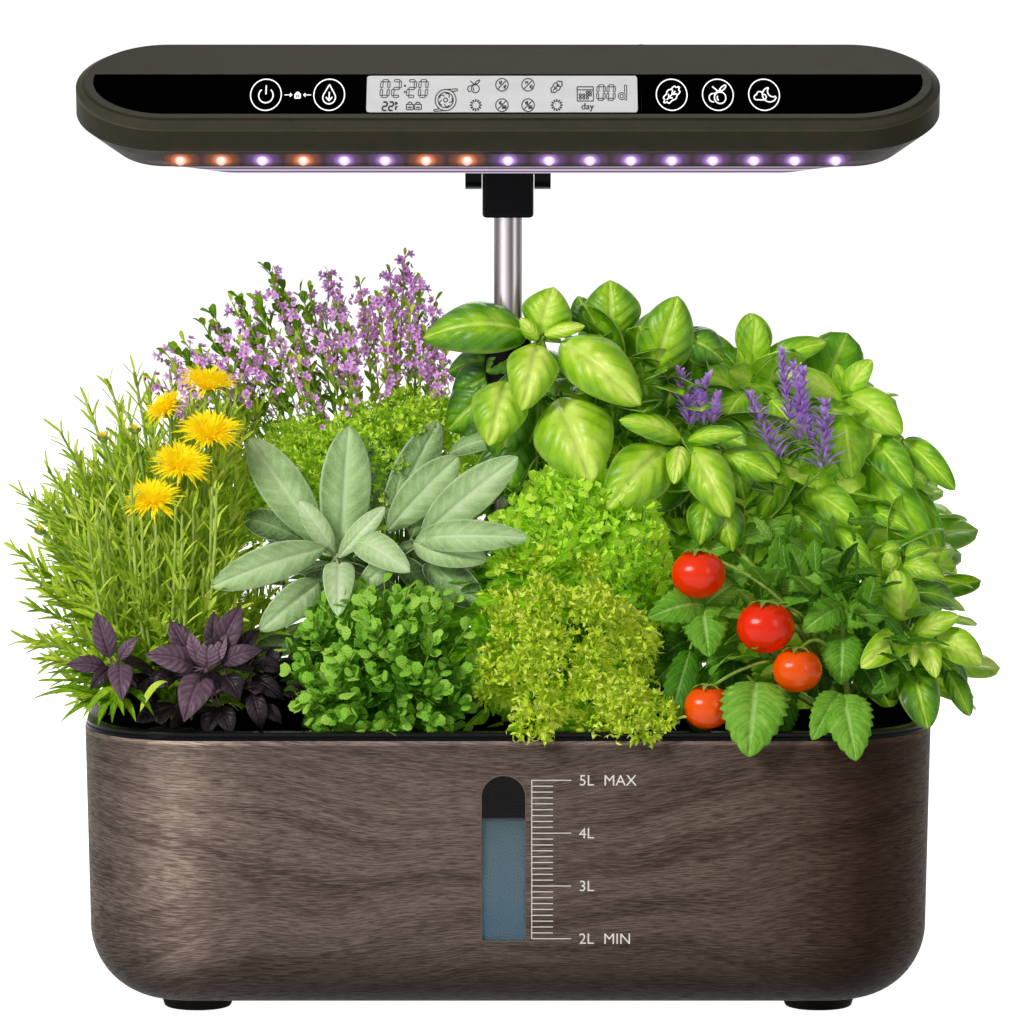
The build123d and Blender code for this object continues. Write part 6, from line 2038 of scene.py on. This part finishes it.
def lcd_marks():
    """Clock, day counter and the small signs of the display."""
    bold = []
    for column, figure in ((383, "0"), (394.5, "2"), (409.5, "2"), (421, "0")):
        bold += digit((column - 1, 81), (7.0, 15.4), figure)
    for column, figure in ((597.5, "0"), (607.5, "0")):
        bold += digit((column, 86), (6.4, 13.4), figure)
    bold += [arc((405.3, 86), 0.8, steps=10), arc((405.3, 92), 0.8, steps=10)]
    bold += [arc((621.3, 96.2), 3.5, steps=20), arc((621.3, 96.2), 1.7, steps=16)]
    bold += stroke((624.2, 92.8), (624.2, 85.4), (626.2, 85.4), (626.2, 99.8), (624.4, 99.8))
    panel_piece("lcd_figures", bold, 0.85, "lcd", lcd_ink)
    thick = digit((383.5, 102.0), (4.2, 8.2), "2", False) + digit((389.8, 102.0), (4.2, 8.2), "2", False)
    thick += stroke((395.6, 102.5), (397.6, 102.5), (397.6, 104), (395.6, 104))
    thick += stroke((396.4, 109.8), (396.4, 106.6), (398.4, 106.6))
    for column in (476, 556.5):
        thick += ring_of_teeth((column, 105), 3.3, 5.9, 12)
    panel_piece("lcd_bold", thick, 1.6, "lcd", lcd_ink)
    fine = []
    for column in (410.5, 418.5):
        fine += lock_sign((column, 104.2), 3.4) + stroke((column - 2.4, 107.4), (column + 2.4, 107.4))
    fine += [arc((446, 100), 10.4, steps=44), arc((446, 100), 7.6, steps=36), arc((446, 100), 2.0, steps=16)]
    for turn in range(5):
        angle = radians(72 * turn)
        fine.append(arc((446 + 4.4 * cos(angle), 100 + 4.4 * sin(angle)), 2.3, 72 * turn - 60, 72 * turn + 120, 12))
    fine += stroke((446, 89.6), (457.5, 89.0), (457.5, 91), (452, 91.6))
    fine += stroke((446, 110.4), (434.5, 111), (434.5, 109.4), (440, 108.6))
    fine += fruit_sign((474, 87), 6.8) + leaf_sign((556.5, 87), 6.6)
    for column, row, figures in ((502, 85, "1212"), (528, 85, "1410"), (502, 105, "1668"), (528, 105, "1886")):
        fine += [arc((column, row), 6.2, steps=32)] + stroke((column - 4, row + 4), (column + 4, row - 4))
        for figure, aside, down in zip(figures, (-4.0, -1.8, 0.6, 2.6), (-3.6, -3.6, 0.6, 0.6)):
            fine += digit((column + aside, row + down), (1.5, 2.8), figure, False)
    fine += oblong(577, 87, 593, 101) + stroke((577, 90), (593, 90))
    days = [(column, row) for row in (95, 98) for column in (580, 583.5, 587, 590)][:-1]
    days += [(587, 92.4), (590, 92.4)]
    for column, row in days:
        fine += oblong(column - 1, row - 1, column + 1, row + 1)
    panel_piece("lcd_signs", fine, 1.0, "lcd", lcd_ink)
    foot_of_word = 109.2

    def upright(x, y, lift):
        return on_panel(x, foot_of_word - y, lift)

    # written twice, a little apart, so that its strokes are bold
    for index, aside in enumerate((0.0, 0.45)):
        words("day", 9.2, (580.5 + aside, 0), upright, f"lcd_day_{index}", "lamp", lcd_ink)


lcd_marks()


# ------------------------------------------------------------------ table, light and background
room = bpy.context.scene
room.view_settings.view_transform = "Standard"


def backdrop():
    """White to the camera and to mirrors and lenses, and a soft even light for everything else."""
    world = bpy.data.worlds.new("studio")
    room.world = world
    world.use_nodes = True
    tree = world.node_tree

    def added(kind, *inputs, **settings):
        made = tree.nodes.new("ShaderNode" + kind)
        for name, value in settings.items():
            setattr(made, name, value)
        for index, socket in enumerate(inputs):
            tree.links.new(socket, made.inputs[index])
        return made

    light = tree.nodes["Background"]
    light.inputs["Strength"].default_value = 0.82
    bright = added("Background")
    bright.inputs["Strength"].default_value = 1.02
    white = added("Background")
    white.inputs["Color"].default_value = grey(1.0)
    ray = added("LightPath").outputs
    seen = added("Math", ray["Is Camera Ray"], ray["Is Glossy Ray"], operation="MAXIMUM").outputs[0]
    seen = added("Math", seen, ray["Is Transmission Ray"], operation="MAXIMUM").outputs[0]
    mix = added("MixShader", seen, light.outputs[0], bright.outputs[0]).outputs[0]
    pick = added("MixShader", ray["Is Camera Ray"], mix, white.outputs[0]).outputs[0]
    tree.links.new(pick, tree.nodes["World Output"].inputs[0])


def table_top(half=16.0, plain=1.0):
    """A wide pale table. What the camera sees of it is mostly its own even white, so that the object's
    shadow on it stays light."""
    mesh = bpy.data.meshes.new("table_top")
    corners = [(-half, -half, 0), (half, -half, 0), (half, half, 0), (-half, half, 0)]
    mesh.from_pydata(corners, [], [(0, 1, 2, 3)])
    table = bpy.data.objects.new("table_top", mesh)
    room.collection.objects.link(table)
    finish = Finish("table_white", tint(240, 240, 240), 0.9, Specular_IOR_Level=0.0)
    path = finish.node("LightPath").outputs
    seen = finish.most(path["Is Camera Ray"], path["Is Glossy Ray"])
    seen = finish.most(seen, path["Is Transmission Ray"])
    finish.coat(Emission_Color=(1.0, 1.0, 1.0, 1.0), Emission_Strength=finish.times(seen, plain))
    mesh.materials.append(finish.material)


def softbox(name, place, target, size, power):
    """A round area lamp at place, turned to target."""
    data = bpy.data.lights.new(name, "AREA")
    data.shape = "DISK"
    data.size = size
    data.energy = power
    lamp = bpy.data.objects.new(name, data)
    lamp.location = place
    lamp.rotation_mode = "QUATERNION"
    lamp.rotation_quaternion = (Vector(target) - Vector(place)).to_track_quat("-Z", "Y")
    room.collection.objects.link(lamp)


backdrop()
table_top()
softbox("key", (-1.5, -1.7, 1.7), (0.0, 0.0, 0.2), 0.9, 52)
softbox("fill", (1.6, -1.5, 1.2), (0.0, 0.0, 0.25), 1.2, 8)
softbox("rear", (0.2, 1.8, 1.3), (0.0, 0.0, 0.3), 1.2, 12)
